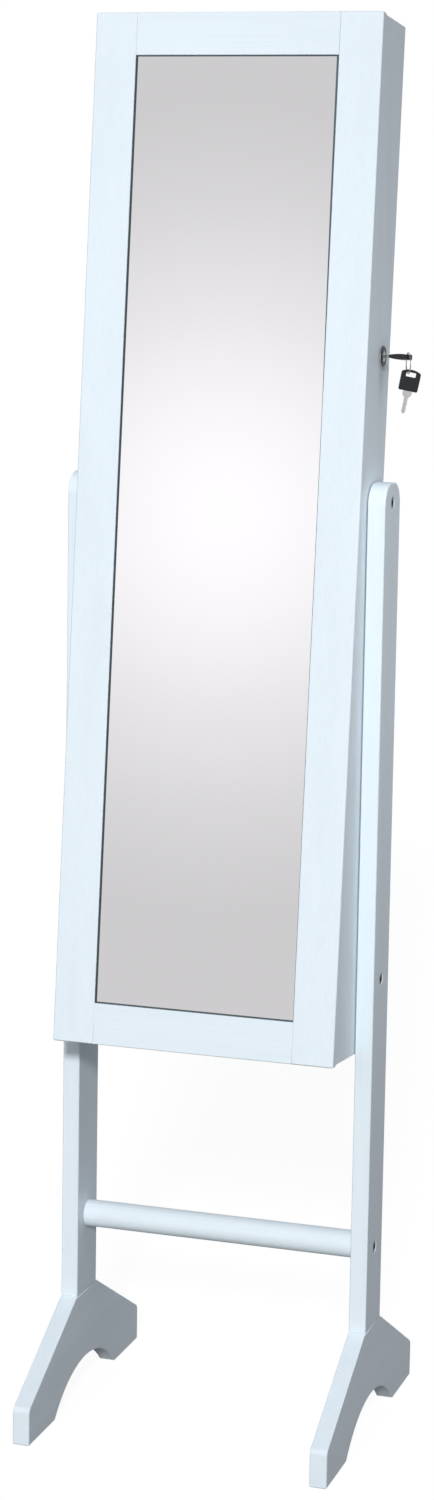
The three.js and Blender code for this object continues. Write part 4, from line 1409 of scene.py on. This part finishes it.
def puffed(piece: bpy.types.Object, voxel: float, cap: float,
           held: Callable[[Vector], bool]) -> bpy.types.Object:
    """Padded fabric: the piece swells under pressure as cloth does, and no point moves past the cap.

    Args:
        piece: The closed starting shape, in millimetres.
        voxel: Size of the cloth's squares, in millimetres.
        cap: The furthest that a point may move, in millimetres.
        held: Whether a point is sewn or glued down.

    Returns:
        The settled piece, in millimetres, once subdivided.
    """
    remesh = piece.modifiers.new("cloth squares", "REMESH")
    remesh.mode = "VOXEL"
    remesh.voxel_size = voxel
    cloth_piece = settled(piece)
    still = [vertex.co.copy() for vertex in cloth_piece.data.vertices]
    cloth_piece.data.transform(Matrix.Scale(MM, 4))
    sewn = cloth_piece.vertex_groups.new(name="sewn")
    sewn.add([i for i, place in enumerate(still) if held(place)], 1.0, "REPLACE")
    cloth = cloth_piece.modifiers.new("cloth", "CLOTH")
    cloth.settings.quality = 5
    cloth.settings.vertex_group_mass = "sewn"
    cloth.settings.use_pressure = True
    cloth.settings.uniform_pressure_force = 4.0
    cloth.settings.effector_weights.gravity = 0.0
    cloth.collision_settings.use_collision = False
    scene = bpy.context.scene
    for frame_number in range(1, 21):
        scene.frame_set(frame_number)
    cloth_piece = settled(cloth_piece)
    scene.frame_set(1)
    cloth_piece.data.transform(Matrix.Scale(1 / MM, 4))
    for vertex, place in zip(cloth_piece.data.vertices, still):
        moved = vertex.co - place
        if moved.length > cap:
            vertex.co = place + moved * (cap / moved.length)
    rounder = cloth_piece.modifiers.new("round", "SUBSURF")
    rounder.levels = rounder.render_levels = 1
    made = settled(cloth_piece)
    for polygon in made.data.polygons:
        polygon.use_smooth = True
    return made


@dataclass
class Fittings:
    """What the cabinet holds: hooks, earring board, ring cushion, bracelet roll, fences and catch."""

    axes: Axes
    hook_count: int = 8
    hook_pitch: float = 34.0
    hook_width: float = 5.0
    hook_easing: float = 0.9
    rail_thickness: float = 8.0
    rail_easing: float = 1.2
    rolls: int = 7
    roll_inset: float = 1.1
    voxel: float = 3.4
    swell: float = 1.3
    cup_thickness: float = 4.0
    cup_easing: float = 1.2
    bar_radius: float = 11.0
    fence_easing: float = 0.35
    body: str = "cabinet"

    def build(self) -> None:
        """Builds and dresses every fitting."""
        self.necklace_rail()
        self.earring_board()
        self.ring_cushion()
        self.bracelet_bar()
        for node in ("middle_shelf_fence", "lower_shelf_fence"):
            made = eased(cad_copy(f"{node}_sheet", node, self.axes), self.fence_easing)
            dress(made, self.axes, self.body, ACRYLIC, "acrylic", node)
        self.magnetic_catch()

    def necklace_rail(self) -> None:
        """A moulded rail with a row of upturned hooks and three screws."""
        low, high = self.axes.box("necklace_rail")
        face = high.y - self.rail_thickness
        centre = (low.z + high.z) / 2
        rail = eased(block("necklace_rail_strip", (low.x, high.x), (face, high.y), (low.z, high.z)),
                     self.rail_easing)
        rail.data.materials.append(BLACK_PLASTIC.material())
        tip, thick = low.y - face, self.hook_width
        outline = [(tip + 2.0, 0), (tip + 0.7, 0.5), (tip, 2.0), (tip, 2 * thick - 1.5), (tip + 0.6, 2 * thick - 0.3),
                   (tip + 2.0, 2 * thick), (tip + 3.2, 2 * thick - 0.5), (tip + 4.3, thick + 1.1),
                   (tip + 5.6, thick), (0.6, thick), (0.6, 0)]
        hook = eased(extruded("hook", outline, -self.hook_width / 2, self.hook_width / 2), self.hook_easing,
                     chosen=lambda first, second: 1.0 if abs(first.x - second.x) < 0.1 else 0.2)
        start = (-(self.hook_count - 1) / 2 * self.hook_pitch, face, centre - thick / 2)
        hooks = in_a_row("necklace_hooks", hook, self.hook_count, start, (self.hook_pitch, 0, 0), BLACK_PLASTIC)
        made = merged("necklace_rail_and_hooks", [rail, hooks])
        dress(made, self.axes, self.body, BLACK_PLASTIC, "black_plastic", "necklace_rail")
        places = [Place((x, face, centre), (0, 0, -90)) for x in (-136.0, 0.0, 136.0)]
        screws = scattered("necklace_rail_screws", pan_screw("screw", 2.8, 9.0, 1.3), places, STEEL)
        dress(screws, self.axes, self.body, STEEL, "steel")

    def earring_board(self) -> None:
        """A velvet-covered board with its slots turned in softly."""
        made = eased(cad_copy("earring_board_panel", "earring_board", self.axes), 0.7, chosen=self.soft_slots)
        dress(made, self.axes, self.body, VELVET, "velvet", "earring_board")

    @staticmethod
    def soft_slots(first: Vector, second: Vector) -> float:
        """Rounds every edge on the board's faces, and not those through its thickness."""
        return 0.0 if abs(first.y - second.y) > 1.0 else 1.0

    def ring_cushion(self) -> None:
        """Seven padded rolls side by side, sewn down between each other."""
        low, high = self.axes.box("ring_cushion")
        pitch = (high.z - low.z) / self.rolls
        radius = pitch / 2 - self.roll_inset
        base = low.y + pitch / 2
        back = high.y - 0.2
        stations = self.crowned_stations(low.x + 0.6, high.x - 0.6)
        shape = bmesh.new()
        loops = []
        for x, share in stations:
            outline = [(back, low.z + 1.0), (back, high.z - 1.0)]
            for i in reversed(range(self.rolls)):
                centre = low.z + (i + 0.5) * pitch
                for y, z in arc((base, centre), radius, 90, 270, 10):
                    drawn = base + (y - base) * share
                    outline.append((drawn, centre + (z - centre) * (0.5 + 0.5 * share) * 1.04))
            loops.append([shape.verts.new((x, y, z)) for y, z in outline])
        for first, second in zip(loops, loops[1:]):
            for i in range(len(first)):
                following = (i + 1) % len(first)
                shape.faces.new((first[i], first[following], second[following], second[i]))
        shape.faces.new(loops[0])
        shape.faces.new(loops[-1])
        start = from_bmesh("ring_cushion_rolls", shape)

        def held(place: Vector) -> bool:
            """Glued at the back, sewn along each groove."""
            along = (place.z - low.z) / pitch
            in_groove = abs(along - round(along)) * pitch < 1.6 and place.y > base - 3.0
            return place.y > back - 1.5 or in_groove

        made = puffed(start, self.voxel, self.swell, held)
        made.data.materials.clear()
        dress(made, self.axes, self.body, VELVET, "velvet", "ring_cushion")

    @staticmethod
    def crowned_stations(start: float, end: float) -> list[tuple[float, float]]:
        """Places along a roll with the share of its full section at each: its ends close in a curve."""
        ease = 9.0
        steps = 6
        stations = []
        for i in range(steps):
            t = i / steps
            stations.append((start + ease * t, 0.45 + 0.55 * math.sqrt(1 - (1 - t) ** 2)))
        count = 24
        for i in range(count + 1):
            stations.append((start + ease + (end - start - 2 * ease) * i / count, 1.0))
        stations += [(start + end - x, share) for x, share in reversed(stations[:steps])]
        return stations

    def bracelet_bar(self) -> None:
        """A padded roll between two moulded end cups."""
        low, high = self.axes.box("bracelet_bar")
        centre = middle(low, high)
        cup_radius, ease = (high.z - low.z) / 2, self.cup_easing
        inner = high.x - self.cup_thickness
        radius = self.bar_radius - 1.0
        rings: list[tuple[float, float]] = [(-inner + 0.4, 0)]
        for x, share in self.crowned_stations(-inner + 0.4, inner - 0.4):
            rings.append((x, radius * (0.6 + 0.4 * share)))
        rings.append((inner - 0.4, 0))
        start = turned("bracelet_roll", rings, sides=28)
        made = puffed(start, self.voxel, 0.9, lambda place: abs(place.x) > inner - 1.5 or
                      (place.y > radius * 0.93 and abs(place.z) < 1.5))
        made.data.materials.clear()
        made.data.transform(Matrix.Translation((0, centre.y, centre.z)))
        dress(made, self.axes, self.body, VELVET, "velvet", "bracelet_bar")
        cups = []
        for side in (-1, 1):
            end, face = side * high.x, side * inner
            cup = turned("cup", [(end, 0), (end, cup_radius - ease), (end - side * 0.3 * ease, cup_radius - 0.3 * ease),
                                 (end - side * ease, cup_radius), (face + side * ease * 0.6, cup_radius),
                                 (face, cup_radius - 0.6 * ease), (face, 0)])
            cups.append(smoothed(cup))
        made = merged("bracelet_roll_cups", cups)
        made.data.transform(Matrix.Translation((0, centre.y, centre.z)))
        dress(made, self.axes, self.body, BLACK_PLASTIC, "black_plastic")

    def magnetic_catch(self) -> None:
        """A plastic catch with two steel poles and a fixing screw."""
        low, high = self.axes.box("magnetic_catch")
        front = low.y + 0.5
        housing = eased(block("magnetic_catch_housing", (low.x, high.x), (front, high.y), (low.z, high.z)), 0.9)
        dress(housing, self.axes, self.body, BLACK_PLASTIC, "black_plastic", "magnetic_catch")
        poles = []
        centre = middle(low, high)
        for z in (centre.z - 5.0, centre.z + 5.0):
            poles.append(eased(block("pole", (low.x + 2.5, high.x - 2.5), (low.y + 0.1, front + 6.0), (z - 1.1, z + 1.1)),
                               0.25, segments=2))
        made = merged("magnetic_catch_poles", poles)
        dress(made, self.axes, self.body, STEEL, "steel")
        place = [Place((low.x, centre.y + 6.0, centre.z), (0, 0, 180))]
        screw = scattered("magnetic_catch_screw", pan_screw("screw", 2.9, 8.0, 1.3), place, STEEL)
        dress(screw, self.axes, self.body, STEEL, "steel")


@dataclass
class DoorFittings:
    """The catch plate and the lock's strike on the back of the door, with their screws."""

    axes: Axes
    plate_easing: float = 0.3
    strike_easing: float = 0.35
    screw_radius: float = 2.4
    body: str = "door"

    def build(self) -> None:
        """Builds and dresses the door's fittings."""
        plate = eased(cad_copy("catch_plate_strip", "catch_plate", self.axes), self.plate_easing, segments=2)
        dress(plate, self.axes, self.body, STEEL, "steel", "catch_plate")
        strike = eased(cad_copy("lock_strike_bracket", "lock_strike", self.axes), self.strike_easing, segments=2)
        dress(strike, self.axes, self.body, STEEL, "steel", "lock_strike")
        low, high = self.axes.box("catch_plate")
        centre = middle(low, high)
        places = [Place((centre.x, high.y, z), (0, 0, 90)) for z in (low.z + 2.9, high.z - 2.9)]
        low, high = self.axes.box("lock_strike")
        face = low.y + 1.5
        places += [Place((low.x + 13.4, face, z), (0, 0, 90)) for z in (low.z + 6.0, high.z - 5.0)]
        made = scattered("door_fitting_screws", countersunk_screw("screw", self.screw_radius, 6.0), places, STEEL)
        dress(made, self.axes, self.body, STEEL, "steel")


# ---------------------------------------------------------------- lock and keys


@dataclass
class Lock:
    """The cam lock in the right side: housing, nut, plug, cam and screw."""

    axes: Axes
    flange_thickness: float = 2.7
    bore: float = 6.3
    barrel: float = 9.4
    thread_depth: float = 0.45
    thread_turns: float = 11.0
    nut_thickness: float = 4.0
    keyway: tuple[float, float, float] = (17.3, 4.9, 2.4)
    cam_easing: float = 0.3

    def build(self) -> None:
        """Builds and dresses the lock."""
        low, high = self.axes.box("lock_housing")
        self.centre = middle(low, high)
        self.housing(low, high)
        self.nut()
        self.plug()
        cam = eased(cad_copy("lock_cam_arm", "lock_cam", self.axes), self.cam_easing, segments=2, angle=40.0)
        dress(cam, self.axes, "lock_plug", STEEL, "steel", "lock_cam")
        low, high = self.axes.box("cam_screw")
        radius = (high.z - low.z) / 2
        place = [Place((low.x + 2.0, self.centre.y, self.centre.z), (0, 0, 180))]
        screw = scattered("cam_screw_head", pan_screw("screw", radius, high.x - low.x - 2.0, 2.0), place, STEEL)
        dress(screw, self.axes, "lock_plug", STEEL, "steel", "cam_screw")

    def shifted(self, piece: bpy.types.Object) -> bpy.types.Object:
        """Moves a turned piece onto the lock's line."""
        piece.data.transform(Matrix.Translation((0, self.centre.y, self.centre.z)))
        return piece

    def housing(self, low: Vector, high: Vector) -> None:
        """A chromed flange with a rolled rim and a dished face, on a threaded barrel; the flange's face gets a dark
        copy of the chrome as a painted dark reflection.
        """
        reach = (high.z - low.z) / 2
        seat = high.x - self.flange_thickness
        core = self.barrel - self.thread_depth
        rings = [(low.x, self.bore), (low.x, core - 0.6), (low.x + 0.6, core), (seat, core), (seat, reach - 0.3),
                 (seat + 0.3, reach)]
        rings += [(high.x - 1.6 + 1.6 * math.sin(angle), reach - 2.2 * (1 - math.cos(angle)))
                  for angle in (math.radians(step) for step in range(0, 91, 15))]
        rings += [(high.x - 0.25, reach - 3.0), (high.x - 0.45, self.bore + 1.0), (high.x - 0.3, self.bore + 0.35),
                  (high.x - 0.5, self.bore)]
        body = smoothed(turned("lock_housing_body", rings, sides=72), 50.0)
        wound = COIL.make("thread", bpy.data.meshes.new("thread"), {
            "Radius": core, "Turns": self.thread_turns, "Rise": seat - low.x - 3.0, "Wire": self.thread_depth,
            "Steps": 40, "Sides": 6, "Finish": CHROME.material()})
        wound.data.transform(Matrix.Translation((low.x + 1.4, 0, 0)) @ Matrix.Rotation(math.pi / 2, 4, "Y"))
        made = self.shifted(merged("lock_housing_shell", [body, wound]))
        # Painted reflection: the outward faces of the flange's face take the dark chrome copy, and the rest takes the
        # bright chrome.
        for finish in (CHROME, CHROME_DARK_REFLECTION):
            made.data.materials.append(finish.material())
        for polygon in made.data.polygons:
            polygon.material_index = int(polygon.normal.x > 0.6 and polygon.center.x > seat + 1.0)
        dress(made, self.axes, "cabinet", CHROME, "chrome", "lock_housing")

    def nut(self) -> None:
        """A thin hexagon nut with chamfered corners."""
        low, high = self.axes.box("lock_nut")
        corner, bore = (high.y - low.y) / 2, self.barrel + 0.3
        corner = max(corner, (high.z - low.z) / 2)
        flat = corner * math.cos(math.pi / 6)
        rings = [(low.x, bore), (low.x, flat), Ring(low.x + 0.7, corner, RingShape.HEXAGON),
                 Ring(high.x - 0.7, corner, RingShape.HEXAGON), (high.x, flat), (high.x, bore)]
        nut = turned("lock_nut_hexagon", rings, sides=72)
        if high.z - low.z < high.y - low.y:
            turn = 0.0
        else:
            turn = math.pi / 6
        nut.data.transform(Matrix.Rotation(turn, 4, "X"))
        made = self.shifted(smoothed(nut, 25.0))
        dress(made, self.axes, "cabinet", STEEL, "steel", "lock_nut")

    def plug(self) -> None:
        """The turning plug, with its keyway and its square-shouldered tail."""
        low, high = self.axes.box("lock_plug")
        radius = (high.z - low.z) / 2
        cam_low, cam_high = self.axes.box("lock_cam")
        shoulder = cam_high.x + 0.3
        tail, bore = 3.0, 1.9
        deep = self.axes.box("cam_screw")[1].x + 0.3
        rings = [(deep, 0), (deep, bore), (low.x, bore), (low.x, tail), (shoulder, tail), (shoulder, radius - 0.3),
                 (shoulder + 0.3, radius), (high.x - 0.5, radius), (high.x - 0.15, radius - 0.35),
                 (high.x - 0.15, radius - 0.9), (high.x, radius - 1.1), (high.x, 0)]
        length, width, thick = self.keyway
        slot = block("keyway", (high.x - length, high.x + 1), (-width / 2, width / 2), (-thick / 2, thick / 2))
        made = self.shifted(smoothed(carved(turned("lock_plug_core", rings, sides=64), [slot]), 35.0))
        dress(made, self.axes, "lock_plug", CHROME, "chrome", "lock_plug")


@dataclass
class Keys:
    """The key in the lock, the split ring, and the spare key that hangs from it."""

    lock_axes: Axes
    ring: Axes
    spare_axes: Axes
    shoulder_start: float = 17.0
    shoulder_end: float = 23.2
    shoulder_half: float = 4.85
    tang_end: float = 31.0
    tang_half: float = 3.5
    blade_half: float = 2.15
    thickness: float = 1.8
    cuts: tuple[float, ...] = (0.55, 0.95, 0.4, 0.8, 0.5)
    groove_width: float = 0.85
    groove_depth: float = 0.45
    head_start: float = 23.5
    head_half: float = 10.0
    head_side: float = 43.1
    head_crown: float = 2.6
    head_thickness: float = 5.4
    slot_top: float = 42.8
    slot_foot: float = 38.2
    slot_half: float = 5.5
    ring_turns: float = 1.96
    ring_wire: float = 0.4

    def build(self) -> None:
        """Builds and dresses both keys and the ring."""
        for prefix, axes, body in (("key", self.lock_axes, "key"), ("spare_key", self.spare_axes, "spare_key")):
            made = self.blade(f"{prefix}_blade_strip")
            dress(made, axes, body, NICKEL, "chrome", f"{prefix}_blade")
            made = self.head(f"{prefix}_head_grip")
            dress(made, axes, body, BLACK_PLASTIC, "black_plastic", f"{prefix}_head")
        self.split_ring()

    def blade(self, name: str) -> bpy.types.Object:
        """A milled blade: a cut edge on both sides, a groove in each face and a tapered shoulder."""
        half = self.blade_half
        lower = [(0.0, -0.5), (2.6, -half)]
        for i, depth in enumerate(self.cuts):
            start = 3.6 + i * 2.5
            lower += [(start, -half), (start + 0.8, depth - half), (start + 1.3, depth - half),
                      (start + 2.1, -half)]
        lower += [(self.shoulder_start, -half), (self.shoulder_start + 1.35, -self.shoulder_half + 0.8),
                  (self.shoulder_end - 1.5, -self.shoulder_half), (self.shoulder_end, -self.shoulder_half),
                  (self.shoulder_end, -self.tang_half), (self.tang_end, -self.tang_half)]
        outline = lower + [(x, -y) for x, y in reversed(lower)]
        flat = extruded(name, outline, -self.thickness / 2, self.thickness / 2, axes="XYZ")
        width, deep = self.groove_width, self.thickness / 2 - self.groove_depth
        grooves = [block("groove", (-1.0, self.shoulder_start + 2.0), (-width / 2 + shift, width / 2 + shift),
                         sorted((side * deep, side * self.thickness)))
                   for side, shift in ((1, 0.35), (-1, -0.35))]
        return eased(carved(flat, grooves), 0.14, segments=2)

    def head(self, name: str) -> bpy.types.Object:
        """A moulded grip: swollen in the middle, with a bead at its end and a slot for the ring."""
        outline = [(self.head_start, -self.head_half + 0.9), (self.head_start + 0.9, -self.head_half),
                   (self.head_side - 0.9, -self.head_half), (self.head_side, -self.head_half + 0.5)]
        steps = 12
        for i in range(1, steps):
            t = i / steps
            outline.append((self.head_side + self.head_crown * math.sin(math.pi * t) ** 0.8,
                            (-self.head_half + 0.5) * (1 - 2 * t)))
        outline += [(x, -y) for x, y in reversed(outline[:4])]
        thick = self.head_thickness / 2
        board = extruded(name, outline, -thick - 1, thick + 1, axes="XYZ")
        side = [(22.9, 1.35), (23.5, 1.55), (25.5, 1.85), (29.0, 2.3), (33.0, 2.62), (36.5, 2.7), (39.0, 2.6),
                (41.0, 2.4), (42.3, 2.28), (43.4, 2.5), (44.6, 2.7), (45.6, 2.45), (46.3, 1.7)]
        profile = side + [(x, -z) for x, z in reversed(side)]
        swell = extruded("swell", profile, -self.head_half - 1, self.head_half + 1, axes="XZY")
        slot = block("slot", (self.slot_foot, self.slot_top), (-self.slot_half, self.slot_half), (-thick - 2, thick + 2))
        tang = block("tang", (self.head_start - 1, self.tang_end + 0.3), (-self.tang_half - 0.3, self.tang_half + 0.3),
                     (-self.thickness / 2 - 0.3, self.thickness / 2 + 0.3))
        grip = carved(board, [swell], "INTERSECT")
        grip = eased(carved(grip, [slot]), 0.6, angle=40.0)
        return smoothed(carved(grip, [tang]), 38.0)

    def split_ring(self) -> None:
        """A split ring of two turns of wire."""
        low, high = self.ring.box("key_ring")
        radius = (high.y - low.y) / 2 - (high.z - low.z) / 2
        rise = 2 * self.ring_wire
        made = COIL.make("key_split_ring", bpy.data.meshes.new("key_split_ring"), {
            "Radius": radius, "Turns": self.ring_turns, "Rise": rise, "Wire": self.ring_wire, "Steps": 56,
            "Sides": 12, "Finish": CHROME.material()})
        made.data.transform(Matrix.Translation((0, 0, -rise / 2)))
        for polygon in made.data.polygons:
            polygon.use_smooth = True
        dress(made, self.ring, "key_ring", CHROME, "chrome", "key_ring")


# ---------------------------------------------------------------- studio


@dataclass
class Studio:
    """The camera, the lamps, the pale floor and the surroundings that shine in metal and glass."""

    camera_place: tuple[float, float, float] = (0.95999, -3.043889, 1.276466)
    yaw: float = math.radians(17.57159)
    pitch: float = math.radians(-8.52088)
    roll: float = math.radians(0.98099)
    focal_pixels: float = 3038.659
    frame_height: float = 1500.0
    principal: tuple[float, float] = (236.698, 692.331)
    frame_middle: tuple[float, float] = (217.0, 750.0)
    sensor: float = 36.0
    ambient: float = 0.22
    ambient_tint: Colour = (1.0, 1.03, 1.2)
    key_strength: float = 2.1
    front_strength: float = 0.6
    far_side_strength: float = 0.1
    back_strength: float = 0.75
    fill_place: tuple[float, float, float] = (0.8, -0.2, 0.95)
    fill_power: float = 0.95
    fill_size: float = 0.4
    glow_point: tuple[float, float, float] = (10.0, 3.3, 569.0)
    glow_spread: float = 0.1317
    glass_dim: float = 0.672
    glass_bright: float = 0.44
    floor_radius: float = 3.2
    floor_albedo: float = 0.14
    floor_glow: float = 0.915
    floor_shine: float = 0.25

    def build(self, cabinet: Axes) -> None:
        """Builds the whole studio."""
        self.camera()
        self.lamps()
        self.surroundings(self.glow_direction(cabinet))
        self.floor()
        settings = bpy.context.scene.view_settings
        settings.view_transform = "Standard"

    def camera(self) -> None:
        """The camera at the photograph's place, angle and focal length."""
        data = bpy.data.cameras.new("camera")
        made = bpy.data.objects.new("camera", data)
        bpy.context.scene.collection.objects.link(made)
        forward = Vector((-math.sin(self.yaw) * math.cos(self.pitch),
                          math.cos(self.yaw) * math.cos(self.pitch), math.sin(self.pitch)))
        level = forward.cross(Vector((0, 0, 1))).normalized()
        upright = level.cross(forward)
        right = level * math.cos(self.roll) + upright * math.sin(self.roll)
        up = upright * math.cos(self.roll) - level * math.sin(self.roll)
        turn = Matrix((right, up, -forward)).transposed()
        made.matrix_world = Matrix.Translation(self.camera_place) @ turn.to_4x4()
        data.sensor_width = self.sensor
        data.lens = self.focal_pixels * self.sensor / self.frame_height
        data.shift_x = (self.frame_middle[0] - self.principal[0]) / self.frame_height
        data.shift_y = (self.principal[1] - self.frame_middle[1]) / self.frame_height
        data.clip_start, data.clip_end = 0.05, 100.0
        bpy.context.scene.camera = made

    def lamps(self) -> None:
        """A crisp main lamp in front on the right, soft ones in front, left and behind, a small one right."""
        lamps = (("main_lamp", (0.24, -1.0, 0.5), self.key_strength, 7.0),
                 ("front_lamp", (-0.05, -1.0, 0.2), self.front_strength, 60.0),
                 ("far_side_lamp", (-1.0, -0.35, 0.1), self.far_side_strength, 40.0),
                 ("back_lamp", (-0.1, 1.0, 0.3), self.back_strength, 32.0))
        for name, toward, strength, spread in lamps:
            data = bpy.data.lights.new(name, "SUN")
            data.energy = strength
            data.angle = math.radians(spread)
            lamp = bpy.data.objects.new(name, data)
            bpy.context.scene.collection.objects.link(lamp)
            lamp.matrix_world = Vector(toward).normalized().to_track_quat("Z", "Y").to_matrix().to_4x4()
            lamp.visible_camera = False
            lamp.visible_glossy = False
        data = bpy.data.lights.new("right_fill", "AREA")
        data.energy, data.size = self.fill_power, self.fill_size
        fill = bpy.data.objects.new("right_fill", data)
        bpy.context.scene.collection.objects.link(fill)
        turn = Vector((1, 0, 0)).to_track_quat("Z", "Y").to_matrix().to_4x4()
        fill.matrix_world = Matrix.Translation(self.fill_place) @ turn
        fill.visible_camera = False
        fill.visible_glossy = False

    def glow_direction(self, cabinet: Axes) -> Vector:
        """The way from the mirror to the bright patch that the camera sees in it."""
        point = cabinet.to_row @ Vector(self.glow_point)
        normal = -(cabinet.to_row.to_3x3() @ Vector((0, 1, 0))).normalized()
        sight = (point - Vector(self.camera_place)).normalized()
        return (sight - 2 * sight.dot(normal) * normal).normalized()

    def surroundings(self, glow: Vector) -> None:
        """White to the camera, an even ambient light, and a soft room to glossy surfaces."""
        world = bpy.data.worlds.new("studio")
        bpy.context.scene.world = world
        world.use_nodes = True
        graph = Graph(world.node_tree)
        way = graph.add("ShaderNodeTexCoord", output="Generated")
        toward = graph.add("ShaderNodeVectorMath", {"operation": "DOT_PRODUCT"}, {0: way, 1: glow}, "Value")
        angle = toward.least(0.999999).math("ARCCOSINE") / self.glow_spread
        stops = ((0, 1.0), (0.125, 0.93), (0.25, 0.82), (0.375, 0.667), (0.5, 0.487), (0.625, 0.346),
                 (0.75, 0.195), (0.875, 0.087), (1.0, 0.0))
        glowing = graph.add("ShaderNodeValToRGB", {"stops": stops}, {"Fac": angle})
        split = graph.add("ShaderNodeSeparateXYZ", None, {"Vector": way}, "X")
        right = split
        back = Wire(graph, split.socket.node.outputs["Y"])
        up = Wire(graph, split.socket.node.outputs["Z"])
        behind = back.ramp(-0.05, 0.3)
        dark_side = right.ramp(0.8, 0.9) * (1 - up.ramp(0.2, 0.5))
        overhead = up.ramp(0.3, 0.6)
        below = (0 - up).ramp(0.3, 0.6)
        room = glowing * self.glass_bright + self.glass_dim
        room = room * (1 - behind) + behind * 0.4
        room = room * (1 - overhead) + overhead * 0.2
        room = room * (1 - below) + below * 0.2
        room = room * (1 - dark_side * 0.72)
        path = graph.add("ShaderNodeLightPath", output="Is Camera Ray")
        glossy = Wire(graph, path.socket.node.outputs["Is Glossy Ray"])
        through = Wire(graph, path.socket.node.outputs["Is Transmission Ray"])
        shiny = glossy * (1 - path)
        seen = path.most(through)
        level = shiny * room + (1 - shiny) * (seen + (1 - seen) * self.ambient)
        tint = graph.blend(shiny.most(seen), self.ambient_tint, (1.0, 1.0, 1.0))
        surface = graph.add("ShaderNodeBackground", None, {"Color": tint, "Strength": level})
        graph.close("ShaderNodeOutputWorld", surface)

    def floor(self) -> None:
        """A round pale floor that keeps a faint shadow of the object."""
        shape = bmesh.new()
        bmesh.ops.create_circle(shape, cap_ends=True, radius=self.floor_radius, segments=96)
        floor = from_bmesh("studio_floor", shape)
        made = bpy.data.materials.new("studio_floor_white")
        made.use_nodes = True
        graph = Graph(made.node_tree)
        path = graph.add("ShaderNodeLightPath", output="Is Camera Ray")
        glossy = Wire(graph, path.socket.node.outputs["Is Glossy Ray"])
        through = Wire(graph, path.socket.node.outputs["Is Transmission Ray"])
        seen = path.most(through) * self.floor_glow + glossy * (1 - path) * self.floor_shine
        grey = (self.floor_albedo, self.floor_albedo, self.floor_albedo, 1.0)
        diffuse = graph.add("ShaderNodeBsdfDiffuse", None, {"Color": grey})
        glow = graph.add("ShaderNodeEmission", None, {"Color": (1, 1, 1, 1), "Strength": seen})
        both = graph.add("ShaderNodeAddShader", None, {0: diffuse, 1: glow})
        graph.close("ShaderNodeOutputMaterial", both)
        floor.data.materials.append(made)


# ---------------------------------------------------------------- the whole scene


def main() -> None:
    """Builds the studio and every sub-assembly in order."""
    logging.basicConfig(level=logging.INFO, format="%(name)s: %(message)s")
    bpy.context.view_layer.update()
    cabinet = cabinet_axes()
    Studio().build(cabinet)
    floor_axes = stand_axes()
    stand = Stand(floor_axes)
    stand.build()
    Pivots(floor_axes, cabinet, stand).build()
    CabinetShell(cabinet).build()
    Fittings(cabinet).build()
    Door(cabinet).build()
    DoorFittings(cabinet).build()
    Hinges(cabinet).build()
    Lock(cabinet).build()
    Keys(key_axes(cabinet), ring_axes(), spare_key_axes()).build()


if __name__ == "__main__":
    main()
